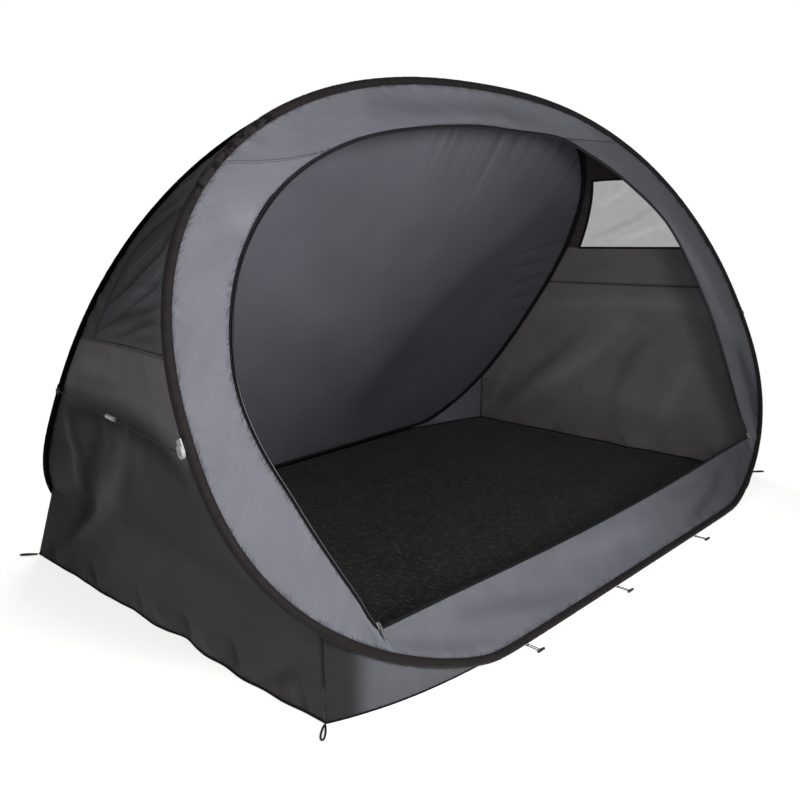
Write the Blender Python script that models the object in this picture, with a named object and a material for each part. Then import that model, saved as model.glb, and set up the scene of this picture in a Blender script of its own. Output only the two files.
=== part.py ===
"""Two-hoop pop-up shelter tent: a cloth shell sewn to two closed spring hoops.

Metres. X runs along the ridge, Y from the doorway (-Y) to the back, Z up. The origin
is on the ground under the ridge, midway between the ends. Cloth is drawn 2 mm thick.
"""

import math

import bmesh
import bpy
import numpy as np
from mathutils import Matrix, Vector

# Overall form
HEIGHT = 1.360
SLEEVE_RADIUS = 0.011
CLOTH = 0.002
GAP = 0.0003
SEAM_GAP = 0.0006
SILL_SEAM_GAP = 0.0010

# Each hoop is a superellipse that leans from the ground line to the ridge. Widths and
# heights are those of its centre line.
FRONT = {
    "side": -1,
    "half_width": 1.230,
    "widest_at": 0.593,
    "upper_power": 2.30,
    "lower_power": 2.40,
    "sunk": 0.055,
    "reach": 0.600,
    "lean_power": 1.16,
}
REAR = {
    "side": 1,
    "half_width": 1.067,
    "widest_at": 0.494,
    "upper_power": 2.63,
    "lower_power": 2.94,
    "sunk": 0.088,
    "reach": 0.936,
    "lean_power": 1.12,
}
GROUND_EASE = 0.012

# Floor sheet and the hem line that the walls stand on
HEM_HALF_LENGTH = 1.078
HEM_SIDE_BULGE = 0.004
HEM_FRONT = 0.584
HEM_REAR = 0.907
HEM_CORNER_SETBACK = 0.104
HEM_REAR_SETBACK = 0.094
HEM_POWER = 5.0
FLOOR_MARGIN = 0.003
WALL_FOOT = 0.0033
FOOT_EASE = 0.002

# Doorway: an arch over a low sill
ARCH_HALF_WIDTH = 1.070
ARCH_WIDEST_AT = 0.620
ARCH_TOP = 1.230
ARCH_UPPER_POWER = 2.2
ARCH_LOWER_DEPTH = 0.925
SILL_END_HEIGHT = 0.176
SILL_DIP = 0.022
ZIP_WIDTH = 0.014
SILL_BINDING = 0.012
DISH_SLOPE = 0.12
DISH_MOST = 0.020

# Levels of the seams, as heights or, near the ridge, as distances from the middle
SILL_SEAM_X = 0.930
CORNER_SEAM_Z = 0.217
WINDOW_BOTTOM_Z = 0.790
WINDOW_TOP_Z = 1.060
BORDER_SEAM_Z = 1.165
RIDGE_END_X = 0.350
CONTACT_Z = 0.021
WINDOW_REAR_U = 0.86
WINDOW_BINDING = 0.010
WALL_HOLLOW = 0.012

REAR_RINGS = (0.0, 0.22, 0.5, 0.78)
REAR_MIDDLE_Z = 0.600

# The standing tent is not quite even: how far its parts settle away from the even shape
RIDGE_SHIFT = 0.006
RIDGE_TILT = 0.022
WAIST_WIDENING = 0.020
REAR_NARROWING = 0.022
REAR_BOW = 0.019
FRONT_BOW = 0.011
SETTLED_FROM = 0.25
SETTLED_OVER = 0.85

# Stations along one half of each hoop, from the middle of the ground line to the ridge
UPPER_COUNTS = {"window": 10, "window_top": 5, "seam": 3, "ridge": 9, "top": 4}
FRONT_COUNTS = {"contact": 6, "sill": 5, "corner": 4, **UPPER_COUNTS}
REAR_COUNTS = {"contact": 7, "corner": 6, **UPPER_COUNTS}
SEAM_ROWS = 3

# Zip sliders and their pull tabs. A tab's crossbar turns under the slider's bridge.
ZIP_LIFT = 0.0021
SLIDER_SIZE = (0.009, 0.014, 0.0032)
SLIDER_IN = 0.0045
SLIDER_UP = 0.004
BRIDGE_WIDTH = 0.0020
BRIDGE_LENGTH = 0.0130
BRIDGE_HEIGHT = 0.0048
BRIDGE_THICKNESS = 0.0011
CROSSBAR_DROP = 0.0040
CROSSBAR_HEIGHT = 0.0019
CROSSBAR_RADIUS = 0.0008
TAB_WIDTH = 0.0064
TAB_LENGTH = 0.030
TAB_THICKNESS = 0.0014
TAB_SLOT = (0.0034, 0.0047)
TAB_TIP_HOLE = 0.0016

# Fittings
CORD_RADIUS = 0.0013
CORD_FRONT_Z = 0.590
CORD_REAR_Z = 0.545
FERRULE_RADIUS = 0.0047
FERRULE_LENGTH = 0.052
FERRULE_AT = 0.467
STRAP_LENGTH = 0.022
STRAP_THICKNESS = 0.0014
STRAP_ARC = 100
BUCKLE_WIDTH = 0.022
BUCKLE_LENGTH = 0.034
BUCKLE_PLATE = 0.003
BUCKLE_ACROSS = 0.002
BUCKLE_DROP = 0.006
DISC_RADIUS = 0.0130
DISC_DEPTH = 0.0065
DISC_HOLE = 0.0055
RIVET_RADIUS = 0.0032
RIVET_OFF = 0.0018
LOOP_LENGTH = 0.056
LOOP_WIDTH = 0.017
LOOP_CORD_RADIUS = 0.0024
LOOP_TURN = 0.9
LOOP_NARROWING = 0.28
TOGGLE_XS = (-0.545, -0.125, 0.350)
TOGGLE_REACH = 0.040
TOGGLE_BAR = (0.026, 0.007, 0.006)
STRAND_RADIUS = 0.0012
STRAND_SPREAD = 0.0075
STRAND_HEIGHT = 0.0018
STRAND_END_RADIUS = 0.0015

COLOURS = {
    "light_cloth": ((0.235, 0.235, 0.262), 0.62, 0.0),
    "dark_cloth": ((0.050, 0.046, 0.048), 0.60, 0.0),
    "panel_cloth": ((0.085, 0.083, 0.088), 0.62, 0.0),
    "front_sleeve": ((0.060, 0.052, 0.054), 0.70, 0.0),
    "rear_sleeve": ((0.006, 0.006, 0.006), 0.70, 0.0),
    "floor_sheet": ((0.012, 0.012, 0.012), 0.45, 0.0),
    "mesh": ((0.030, 0.030, 0.030), 0.80, 0.0),
    "binding": ((0.010, 0.012, 0.014), 0.75, 0.0),
    "zip_tape": ((0.014, 0.020, 0.028), 0.70, 0.0),
    "nickel": ((0.720, 0.710, 0.690), 0.28, 1.0),
    "elastic": ((0.008, 0.008, 0.008), 0.80, 0.0),
    "grey_plastic": ((0.300, 0.310, 0.300), 0.45, 0.0),
    "dark_plastic": ((0.030, 0.032, 0.032), 0.50, 0.0),
    "pale_plastic": ((0.560, 0.560, 0.520), 0.50, 0.0),
}


def clear_scene():
    for thing in list(bpy.data.objects):
        bpy.data.objects.remove(thing)


def material(name):
    found = bpy.data.materials.get(name)
    if found:
        return found
    made = bpy.data.materials.new(name)
    made.use_nodes = True
    colour, roughness, metallic = COLOURS[name]
    shader = made.node_tree.nodes["Principled BSDF"]
    shader.inputs["Base Color"].default_value = (*colour, 1.0)
    shader.inputs["Roughness"].default_value = roughness
    shader.inputs["Metallic"].default_value = metallic
    return made


def link(thing, look):
    thing.data.materials.append(material(look))
    bpy.context.scene.collection.objects.link(thing)
    return thing


def unit(v):
    return v / np.linalg.norm(v, axis=-1, keepdims=True)


# Hoops


def lean(hoop, z):
    """The Y of a hoop's surface at height z. Both hoops lie side by side at the ridge."""
    top = SLEEVE_RADIUS + GAP
    rise = np.clip(1 - z / (HEIGHT - SLEEVE_RADIUS), 0, 1)
    return hoop["side"] * (top + (hoop["reach"] - top) * rise ** hoop["lean_power"])


def half_hoop(hoop, steps=2401):
    """Dense points of the half with X over 0, from the ground line's middle to the ridge."""
    t = np.linspace(-math.pi / 2, math.pi / 2, steps)
    upper = t > 0
    power = np.where(upper, hoop["upper_power"], hoop["lower_power"])
    middle = hoop["widest_at"]
    up = HEIGHT - SLEEVE_RADIUS - middle
    down = middle + hoop["sunk"]
    x = hoop["half_width"] * np.abs(np.cos(t)) ** (2 / power)
    z = middle + np.where(upper, up, -down) * np.abs(np.sin(t)) ** (2 / power)
    # The ground flattens the lower end: a smooth floor at one sleeve radius.
    over = z - SLEEVE_RADIUS
    eased = (over + np.sqrt(over**2 + GROUND_EASE**2)) / 2
    z = SLEEVE_RADIUS + eased - eased[0] * (1 - np.clip(eased / (4 * GROUND_EASE), 0, 1))
    return np.stack([x, lean(hoop, z), z], axis=-1)


def lengths_along(points):
    steps = np.linalg.norm(np.diff(points, axis=0), axis=1)
    return np.concatenate([[0.0], np.cumsum(steps)])


def arc_at_height(points, z):
    return float(np.interp(z, points[:, 2], lengths_along(points)))


def arc_at_x(points, x, upper):
    widest = int(np.argmax(points[:, 0]))
    along = lengths_along(points)
    if upper:
        return float(np.interp(-x, -points[widest:, 0], along[widest:]))
    return float(np.interp(x, points[: widest + 1, 0], along[: widest + 1]))


def stations(points, marks, counts):
    """Points at even steps between marks, with the index of each mark's point."""
    along = lengths_along(points)
    arcs = [0.0]
    index = {"bottom": 0}
    for name, count in counts.items():
        arcs.extend(np.linspace(arcs[-1], marks[name], count + 1)[1:])
        index[name] = len(arcs) - 1
    at = np.stack([np.interp(arcs, along, points[:, axis]) for axis in range(3)], axis=-1)
    return at, index


def hoop_stations(hoop, counts):
    points = half_hoop(hoop)
    marks = {
        "contact": arc_at_height(points, CONTACT_Z),
        "sill": arc_at_x(points, SILL_SEAM_X, upper=False),
        "corner": arc_at_height(points, CORNER_SEAM_Z),
        "window": arc_at_height(points, WINDOW_BOTTOM_Z),
        "window_top": arc_at_height(points, WINDOW_TOP_Z),
        "seam": arc_at_height(points, BORDER_SEAM_Z),
        "ridge": arc_at_x(points, RIDGE_END_X, upper=True),
        "top": lengths_along(points)[-1],
    }
    return stations(points, marks, counts)


def tangents(points):
    """Directions along an open run of points whose two ends cross the plane X = 0."""
    flip = np.array([-1.0, 1.0, 1.0])
    before = points[1] * flip
    after = points[-2] * flip
    padded = np.vstack([before, points, after])
    return unit(padded[2:] - padded[:-2])


def seat(points, along, towards, distance=SLEEVE_RADIUS + GAP):
    """Points on the sleeve's surface, on the side that faces the given points."""
    way = towards - points
    way = way - (way * along).sum(axis=-1, keepdims=True) * along
    return points + unit(way) * distance


FRONT_PTS, FRONT_AT = hoop_stations(FRONT, FRONT_COUNTS)
REAR_PTS, REAR_AT = hoop_stations(REAR, REAR_COUNTS)
FRONT_DIR = tangents(FRONT_PTS)
REAR_DIR = tangents(REAR_PTS)


# Hem, arch and sill


def hem_front(x):
    return -(HEM_FRONT - HEM_CORNER_SETBACK * np.abs(x / HEM_HALF_LENGTH) ** HEM_POWER)


def hem_rear(x):
    return HEM_REAR - HEM_REAR_SETBACK * np.abs(x / HEM_HALF_LENGTH) ** HEM_POWER


def hem_side(share):
    """The hem's side at this share of the way from the front corner to the rear one."""
    x = HEM_HALF_LENGTH + HEM_SIDE_BULGE * 4 * share * (1 - share)
    front = hem_front(HEM_HALF_LENGTH)
    y = front + (hem_rear(HEM_HALF_LENGTH) - front) * share
    return x, y


def half_arch(steps=1201):
    """X and Z of the doorway's edge, from the sill's end to the top, as a superellipse."""
    low = (ARCH_WIDEST_AT - SILL_END_HEIGHT) / ARCH_LOWER_DEPTH
    t = np.linspace(-math.asin(low), math.pi / 2, steps)
    upper = t > 0
    power = np.where(upper, ARCH_UPPER_POWER, 2.0)
    rise = np.where(upper, ARCH_TOP - ARCH_WIDEST_AT, -ARCH_LOWER_DEPTH)
    x = ARCH_HALF_WIDTH * np.abs(np.cos(t)) ** (2 / power)
    z = ARCH_WIDEST_AT + rise * np.abs(np.sin(t)) ** (2 / power)
    return np.stack([x, np.zeros_like(x), z], axis=-1)


def arch_stations():
    points = half_arch()
    level = {"window": 0.72, "window_top": 0.95, "seam": BORDER_SEAM_Z}
    along = lengths_along(points)
    marks = {name: float(np.interp(z, points[:, 2], along)) for name, z in level.items()}
    marks["top"] = along[-1]
    counts = {
        "window": FRONT_COUNTS["corner"] + FRONT_COUNTS["window"],
        "window_top": FRONT_COUNTS["window_top"],
        "seam": FRONT_COUNTS["seam"],
        "top": FRONT_COUNTS["ridge"] + FRONT_COUNTS["top"],
    }
    return stations(points, marks, counts)


ARCH_PTS, ARCH_AT = arch_stations()


def arch_offset(distance):
    """The arch moved outwards in the doorway's plane by this distance."""
    along = tangents(ARCH_PTS)
    along[0] = unit(ARCH_PTS[1] - ARCH_PTS[0])
    outward = np.stack([along[:, 2], np.zeros(len(along)), -along[:, 0]], axis=-1)
    moved = ARCH_PTS + outward * distance
    moved[0, 2] = ARCH_PTS[0, 2]
    moved[-1, 0] = 0.0
    return moved


def dish(start, end):
    """How far the cloth lies behind the hoop's own surface at its inner edge."""
    width = np.hypot(end[:, 0] - start[:, 0], end[:, 2] - start[:, 2])
    return np.minimum(DISH_SLOPE * width, DISH_MOST)


def front_face(start, end, shares):
    """Points at these shares of the way from start to end on the leaning, dished front."""
    share = np.broadcast_to(np.asarray(shares, float), (len(start), np.shape(shares)[-1]))
    grid = start[:, None, :] * (1 - share[..., None]) + end[:, None, :] * share[..., None]
    seated = (start[:, 1] - lean(FRONT, start[:, 2]))[:, None] * (1 - share) ** 2
    grid[..., 1] = lean(FRONT, grid[..., 2]) + dish(start, end)[:, None] * share + seated
    return grid


# Cloth solids


def trimmed(grid, first=GAP, last=GAP):
    """A grid whose first and last rows stop this far short of their seams."""
    grid = grid.copy()
    grid[0] += unit(grid[1] - grid[0]) * first
    grid[-1] += unit(grid[-2] - grid[-1]) * last
    return grid


def mirrored(grid):
    """The same grid on the other side, with its rows reversed so that it faces alike."""
    return (grid * np.array([-1.0, 1.0, 1.0]))[::-1]


def cloth(name, grids, look, outside, thickness=CLOTH):
    """A thin solid over one or more grids that share edges; outside is a point it faces."""
    shape = bmesh.new()
    for grid in grids:
        verts = [[shape.verts.new(point) for point in row] for row in grid.tolist()]
        for low, high in zip(verts, verts[1:]):
            for a, b, c, d in zip(low, high, high[1:], low[1:]):
                shape.faces.new((a, b, c, d))
    bmesh.ops.remove_doubles(shape, verts=shape.verts, dist=0.00005)
    return finish_cloth(name, shape, look, outside, thickness)


def finish_cloth(name, shape, look, outside, thickness):
    bmesh.ops.recalc_face_normals(shape, faces=shape.faces)
    shape.faces.ensure_lookup_table()
    facing = sum((f.normal.dot(Vector(outside) - f.calc_center_median()) for f in shape.faces), 0.0)
    if facing < 0:
        bmesh.ops.reverse_faces(shape, faces=shape.faces)
    mesh = bpy.data.meshes.new(name)
    shape.to_mesh(mesh)
    shape.free()
    mesh.shade_smooth()
    sheet = link(bpy.data.objects.new(name, mesh), look)
    thicken = sheet.modifiers.new("Cloth", "SOLIDIFY")
    thicken.thickness = thickness
    thicken.offset = 0.0
    return sheet


def make_floor():
    shares = np.linspace(0, 1, 13)
    side_x, side_y = hem_side(shares)
    run = np.linspace(HEM_HALF_LENGTH, -HEM_HALF_LENGTH, 25)
    right = list(zip(side_x + FLOOR_MARGIN, side_y))
    rear = list(zip(run, hem_rear(run) + FLOOR_MARGIN))
    left = [(-x, y) for x, y in reversed(right)]
    front = [(-x, y) for x, y in zip(run, hem_front(run) - FLOOR_MARGIN)]
    outline = right + rear[1:-1] + left + front[1:-1]
    shape = bmesh.new()
    base = shape.faces.new([shape.verts.new((x, y, 0.0)) for x, y in outline])
    grown = bmesh.ops.extrude_face_region(shape, geom=[base])
    lifted = [v for v in grown["geom"] if isinstance(v, bmesh.types.BMVert)]
    bmesh.ops.translate(shape, verts=lifted, vec=(0, 0, CLOTH))
    bmesh.ops.recalc_face_normals(shape, faces=shape.faces)
    mesh = bpy.data.meshes.new("floor")
    shape.to_mesh(mesh)
    shape.free()
    link(bpy.data.objects.new("floor", mesh), "floor_sheet")


def make_hoop(name, points, look):
    left = (points * np.array([-1.0, 1.0, 1.0]))[1:-1][::-1]
    tube(name, np.vstack([points, left]), SLEEVE_RADIUS, look, closed=True)


def tube(name, points, radius, look, closed=False, sides=2):
    curve = bpy.data.curves.new(name, "CURVE")
    curve.dimensions = "3D"
    curve.bevel_depth = radius
    curve.bevel_resolution = sides
    curve.use_fill_caps = not closed
    line = curve.splines.new("POLY")
    line.points.add(len(points) - 1)
    for spot, point in zip(line.points, points):
        spot.co = (*point, 1.0)
    line.use_cyclic_u = closed
    return link(bpy.data.objects.new(name, curve), look)


def on_lean(points):
    """The same X and Z with Y on the front's leaning surface."""
    return np.stack([points[:, 0], lean(FRONT, points[:, 2]), points[:, 2]], axis=-1)


def border_edges():
    """The border's seat on the hoop and its edge at the zip, from the sill to the ridge."""
    edge = on_lean(arch_offset(ZIP_WIDTH + SEAM_GAP))
    run = slice(FRONT_AT["sill"], FRONT_AT["top"] + 1)
    return seat(FRONT_PTS[run], FRONT_DIR[run], edge), edge


def both_halves(grid):
    """A grid that ends on the middle line, followed by its mirror image."""
    return np.concatenate([grid, mirrored(grid)[1:]])


def make_front():
    outside = (0, -5, 1)
    rim, edge = border_edges()
    split = FRONT_AT["seam"] - FRONT_AT["sill"]
    face = front_face(rim, edge, (0.0, 0.5, 1.0))
    right = trimmed(face[: split + 1])
    cloth("front_border_right", [right], "light_cloth", outside)
    cloth("front_border_left", [mirrored(right)], "light_cloth", outside)
    cloth("front_border_top", [trimmed(both_halves(face[split:]))], "light_cloth", outside)

    tape = np.stack([arch_offset(ZIP_WIDTH), ARCH_PTS], axis=1)
    tape[..., 1] = lean(FRONT, tape[..., 2]) + dish(rim, edge)[:, None]
    right = trimmed(tape[: split + 1])
    cloth("door_zip_right", [right], "zip_tape", outside)
    cloth("door_zip_left", [mirrored(right)], "zip_tape", outside)
    cloth("door_zip_top", [trimmed(both_halves(tape[split:]))], "zip_tape", outside)


def sill_top(x):
    end = arch_offset(ZIP_WIDTH)[0, 0]
    return SILL_END_HEIGHT - SEAM_GAP - SILL_DIP * (1 - (x / end) ** 2)


def make_sill():
    outside = (0, -5, 1)
    low = FRONT_PTS[: FRONT_AT["sill"] + 1]
    x = low[:, 0] / low[-1, 0] * arch_offset(ZIP_WIDTH)[0, 0]
    edge = on_lean(np.stack([x, x, sill_top(x)], axis=-1))
    rim = seat(low, FRONT_DIR[: len(low)], edge)
    height = np.hypot(edge[:, 0] - rim[:, 0], edge[:, 2] - rim[:, 2])
    binding = SILL_BINDING / height
    none = np.zeros_like(binding)
    face = front_face(rim, edge, np.stack([none, (1 - binding) / 2, 1 - binding], axis=-1))
    strip = front_face(rim, edge, np.stack([1 - binding + SEAM_GAP / height, none + 1], axis=-1))
    for name, grid, look in (("front_sill", face, "light_cloth"), ("sill_binding", strip, "binding")):
        whole = both_halves(grid[::-1])
        cloth(name, [trimmed(whole, SILL_SEAM_GAP, SILL_SEAM_GAP)], look, outside)


def side_edges():
    """The front and rear edges of the right wall, matched point by point, hem to ridge."""
    front = FRONT_PTS[FRONT_AT["corner"] : FRONT_AT["ridge"] + 1]
    rear = REAR_PTS[REAR_AT["corner"] : REAR_AT["ridge"] + 1]
    front_dir = FRONT_DIR[FRONT_AT["corner"] : FRONT_AT["ridge"] + 1]
    rear_dir = REAR_DIR[REAR_AT["corner"] : REAR_AT["ridge"] + 1]
    front_edge = seat(front, front_dir, rear)
    rear_edge = seat(rear, rear_dir, front)
    foot_front = np.array([*hem_side(0.0), WALL_FOOT])
    foot_rear = np.array([*hem_side(1.0), WALL_FOOT])
    share = np.linspace(0, 1, SEAM_ROWS + 1)[:-1, None]
    front_edge = np.vstack([foot_front + (front_edge[0] - foot_front) * share, front_edge])
    rear_edge = np.vstack([foot_rear + (rear_edge[0] - foot_rear) * share, rear_edge])
    return front_edge, rear_edge


def side_surface(front_edge, rear_edge, across):
    """The wall between two matched edges: straight across, hollowed and with the hem's bulge."""
    u = np.array(across)[None, :, None]
    grid = front_edge[:, None, :] * (1 - u) + rear_edge[:, None, :] * u
    arch = 4 * u[..., 0] * (1 - u[..., 0])
    height = grid[..., 2]
    near_hem = np.clip(1 - height / CORNER_SEAM_Z, 0, 1) ** 2
    rising = np.clip(height / WINDOW_BOTTOM_Z, 0, 1)
    falling = np.clip((HEIGHT - height) / (HEIGHT - WINDOW_BOTTOM_Z), 0, 1)
    grid[..., 0] += arch * (HEM_SIDE_BULGE * near_hem - WALL_HOLLOW * rising * falling)
    return grid


def make_sides():
    outside = (6, 0.1, 0.8)
    other = (-6, 0.1, 0.8)
    front_edge, rear_edge = side_edges()
    low = SEAM_ROWS + FRONT_COUNTS["window"]
    high = low + FRONT_COUNTS["window_top"]
    across = np.linspace(0, 1, 8)
    wall = side_surface(front_edge[: low + 1], rear_edge[: low + 1], across)
    wall = trimmed(wall, first=0, last=SEAM_GAP)
    cloth("side_wall_right", [wall], "dark_cloth", outside)
    cloth("side_wall_left", [mirrored(wall)], "dark_cloth", other)

    split = WINDOW_REAR_U
    behind = (split, (1 + split) / 2, 1.0)
    lower = side_surface(front_edge[low : high + 1], rear_edge[low : high + 1], behind)
    lower = trimmed(lower, last=0)
    upper = side_surface(front_edge[high:], rear_edge[high:], (0.0, split / 2, *behind))
    cloth("side_gusset_right", [lower, upper], "dark_cloth", outside)
    cloth("side_gusset_left", [mirrored(lower), mirrored(upper)], "dark_cloth", other)

    span = np.linalg.norm(rear_edge[low] - front_edge[low])
    slim = WINDOW_BINDING / span
    clear = SEAM_GAP / span
    columns = (0.0, split / 2, split - slim - clear, split - slim, split - clear)
    pane = window_rows(side_surface(front_edge[low : high + 1], rear_edge[low : high + 1], columns))
    net = trimmed(pane[1:-1, :3])
    cloth("window_mesh_right", [net], "mesh", outside)
    cloth("window_mesh_left", [mirrored(net)], "mesh", other)
    pane = trimmed(pane)
    bars = [
        np.delete(pane[:2], 2, axis=1),
        np.delete(pane[-2:], 2, axis=1),
        pane[1:-1, 3:],
    ]
    cloth("window_binding_right", bars, "binding", outside)
    cloth("window_binding_left", [mirrored(bar) for bar in bars], "binding", other)


def window_rows(pane):
    """The window's rows with one more at each end, a binding's width from the edge."""
    first = pane[0] + unit(pane[1] - pane[0]) * WINDOW_BINDING
    last = pane[-1] + unit(pane[-2] - pane[-1]) * WINDOW_BINDING
    return np.concatenate([pane[:1], first[None], pane[1:-1], last[None], pane[-1:]])


def corner_panel(points, along, hem, start_share):
    """A fill between the hoop's low curve and the hem. hem gives Y for X."""
    x_low, x_high = points[0, 0], points[-1, 0]
    share = (points[:, 0] - x_low) / (x_high - x_low)
    x = x_low + (HEM_HALF_LENGTH - start_share - x_low) * share
    foot = np.stack([x, hem(x), np.full_like(x, WALL_FOOT)], axis=-1)
    rim = seat(points, along, foot, SLEEVE_RADIUS + SEAM_GAP)
    rows = np.linspace(0, 1, 3)[None, :, None]
    return rim[:, None] * (1 - rows) + foot[:, None] * rows


def make_corners():
    for name, pts, at, direction, hem, y in (
        ("front_corner", FRONT_PTS, FRONT_AT, FRONT_DIR, hem_front, -5),
        ("rear_corner", REAR_PTS, REAR_AT, REAR_DIR, hem_rear, 5),
    ):
        first, last = at["contact"], at["corner"]
        grid = corner_panel(pts[first : last + 1], direction[first : last + 1], hem, FOOT_EASE)
        grid[-1] += unit(grid[-2] - grid[-1]) * CLOTH
        cloth(name + "_right", [grid], "dark_cloth", (0.8, y, 0.3))
        cloth(name + "_left", [mirrored(grid)], "dark_cloth", (-0.8, y, 0.3))


def make_rear_panel():
    """A disc of rings from the hoop to its middle, on the leaning surface, with a slight sag."""
    middle = np.array([0.0, 0.0, REAR_MIDDLE_Z])
    middle[1] = lean(REAR, middle[2])
    rim = seat(REAR_PTS, REAR_DIR, middle[None])
    left = (rim * np.array([-1.0, 1.0, 1.0]))[1:-1][::-1]
    rim = np.vstack([rim, left])
    true = rim[:, 1] - lean(REAR, rim[:, 2])
    shape = bmesh.new()
    rings = []
    for share in REAR_RINGS:
        ring = rim * (1 - share) + middle * share
        ring[:, 1] = lean(REAR, ring[:, 2]) + true * (1 - share) ** 2
        ring[:, 2] = np.maximum(ring[:, 2], CLOTH * 2)
        rings.append([shape.verts.new(point) for point in ring.tolist()])
    centre = shape.verts.new(middle)
    for outer, inner in zip(rings, rings[1:]):
        for a, b, c, d in zip(outer, outer[1:] + outer[:1], inner[1:] + inner[:1], inner):
            shape.faces.new((a, b, c, d))
    for a, b in zip(rings[-1], rings[-1][1:] + rings[-1][:1]):
        shape.faces.new((a, b, centre))
    finish_cloth("rear_panel", shape, "panel_cloth", (0, 6, 3), CLOTH)


def settle(points):
    """Where points of the even shape come to stand."""
    x, y, z = points.T
    share = np.clip((z - SETTLED_FROM) / SETTLED_OVER, 0, 1)
    high = share**2 * (3 - 2 * share)
    waist = np.sin(math.pi * np.clip(z / HEIGHT, 0, 1))
    front_y, rear_y = lean(FRONT, z), lean(REAR, z)
    back = np.clip((y - front_y) / (rear_y - front_y), 0, 1)
    along = RIDGE_SHIFT * high + x * (WAIST_WIDENING * waist - REAR_NARROWING * high * back)
    deep = REAR_BOW * waist * back - FRONT_BOW * waist * (1 - back)
    return points + np.stack([along, deep, -RIDGE_TILT * high * x], axis=-1)


def settle_all():
    """Moves the points of everything made, helper shapes too, to where they settle."""
    bpy.context.view_layer.update()
    for thing in bpy.data.objects:
        is_curve = thing.type == "CURVE"
        owner = thing.data.splines[0].points if is_curve else thing.data.vertices
        size = 4 if is_curve else 3
        flat = np.empty(len(owner) * size)
        owner.foreach_get("co", flat)
        spots = flat.reshape(-1, size)
        place = np.array(thing.matrix_world)
        turn, origin = place[:3, :3], place[:3, 3]
        moved = settle(spots[:, :3] @ turn.T + origin)
        spots[:, :3] = (moved - origin) @ np.linalg.inv(turn).T
        owner.foreach_set("co", spots.ravel())


# Fittings


def frame_at(origin, x_way, z_way):
    """A matrix whose X and Z axes point these ways at this place."""
    z = Vector(z_way).normalized()
    x = Vector(x_way)
    x = (x - z * x.dot(z)).normalized()
    y = z.cross(x)
    turn = Matrix((x, y, z)).transposed().to_4x4()
    return Matrix.Translation(Vector(origin)) @ turn


def box(size, middle=(0, 0, 0), bevel=0.0):
    shape = bmesh.new()
    bmesh.ops.create_cube(shape, size=1.0)
    bmesh.ops.scale(shape, vec=size, verts=shape.verts)
    bmesh.ops.translate(shape, vec=middle, verts=shape.verts)
    if bevel:
        bmesh.ops.bevel(shape, geom=list(shape.edges), offset=bevel, segments=1, affect="EDGES")
    return shape


def rod(radius, length, axis, middle=(0, 0, 0), sides=12):
    shape = bmesh.new()
    bmesh.ops.create_cone(
        shape, cap_ends=True, segments=sides, radius1=radius, radius2=radius, depth=length
    )
    turn = Vector((0, 0, 1)).rotation_difference(Vector(axis)).to_matrix()
    bmesh.ops.rotate(shape, verts=shape.verts, cent=(0, 0, 0), matrix=turn)
    bmesh.ops.translate(shape, vec=middle, verts=shape.verts)
    return shape


def plate(outline, thickness, middle_z=0.0):
    """A flat plate in X and Y with this outline."""
    shape = bmesh.new()
    low = middle_z - thickness / 2
    base = shape.faces.new([shape.verts.new((x, y, low)) for x, y in outline])
    grown = bmesh.ops.extrude_face_region(shape, geom=[base])
    lifted = [v for v in grown["geom"] if isinstance(v, bmesh.types.BMVert)]
    bmesh.ops.translate(shape, verts=lifted, vec=(0, 0, thickness))
    bmesh.ops.recalc_face_normals(shape, faces=shape.faces)
    return shape


def rounded_outline(width, length, steps=6):
    """A stadium in X and Y, long in Y, its middle at the origin."""
    radius = width / 2
    straight = length / 2 - radius
    angles = np.linspace(0, math.pi, steps + 1)
    top = [(radius * math.cos(a), straight + radius * math.sin(a)) for a in angles]
    return top + [(-x, -y) for x, y in top]


def as_object(name, shape, look, place):
    mesh = bpy.data.meshes.new(name)
    shape.to_mesh(mesh)
    shape.free()
    thing = link(bpy.data.objects.new(name, mesh), look)
    thing.matrix_world = place
    return thing


def combine(thing, shapes, operation):
    """Adds or cuts helper shapes, given in the thing's own axes."""
    for number, shape in enumerate(shapes):
        name = f"{thing.name}_{operation.lower()}_{number}"
        helper = as_object(name, shape, "nickel", thing.matrix_world)
        helper.hide_render = True
        helper.display_type = "WIRE"
        step = thing.modifiers.new(helper.name, "BOOLEAN")
        step.operation = operation
        step.object = helper


def zip_frame(side):
    """Place on the cloth at a slider: X along the tent, Y up the cloth, Z out of it."""
    rim, edge = border_edges()
    z = SILL_END_HEIGHT + SLIDER_UP
    slope = float(lean(FRONT, z + 0.001) - lean(FRONT, z - 0.001)) / 0.002 + DISH_SLOPE
    out = Vector((0, -1, slope)).normalized()
    y = float(lean(FRONT, z)) + dish(rim, edge)[0]
    spot = Vector((side * (ARCH_PTS[0, 0] + SLIDER_IN), y, z)) + out * ZIP_LIFT
    return frame_at(spot, (1, 0, 0), out)


def bridge_outline():
    """The bridge's side view, in Y and Z, as an arch with bevelled shoulders."""
    outer = [(-0.5, 0), (-0.5, 0.62), (-0.36, 1), (0.36, 1), (0.5, 0.62), (0.5, 0)]
    half, tall = BRIDGE_LENGTH, BRIDGE_HEIGHT
    inner_half, inner_tall = half - 2 * BRIDGE_THICKNESS, tall - BRIDGE_THICKNESS
    over = [(y * half, z * tall) for y, z in outer]
    under = [(y * inner_half, z * inner_tall) for y, z in reversed(outer)]
    sunk = 0.0004
    return [(y, z if z else -sunk) for y, z in over + under]


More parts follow.
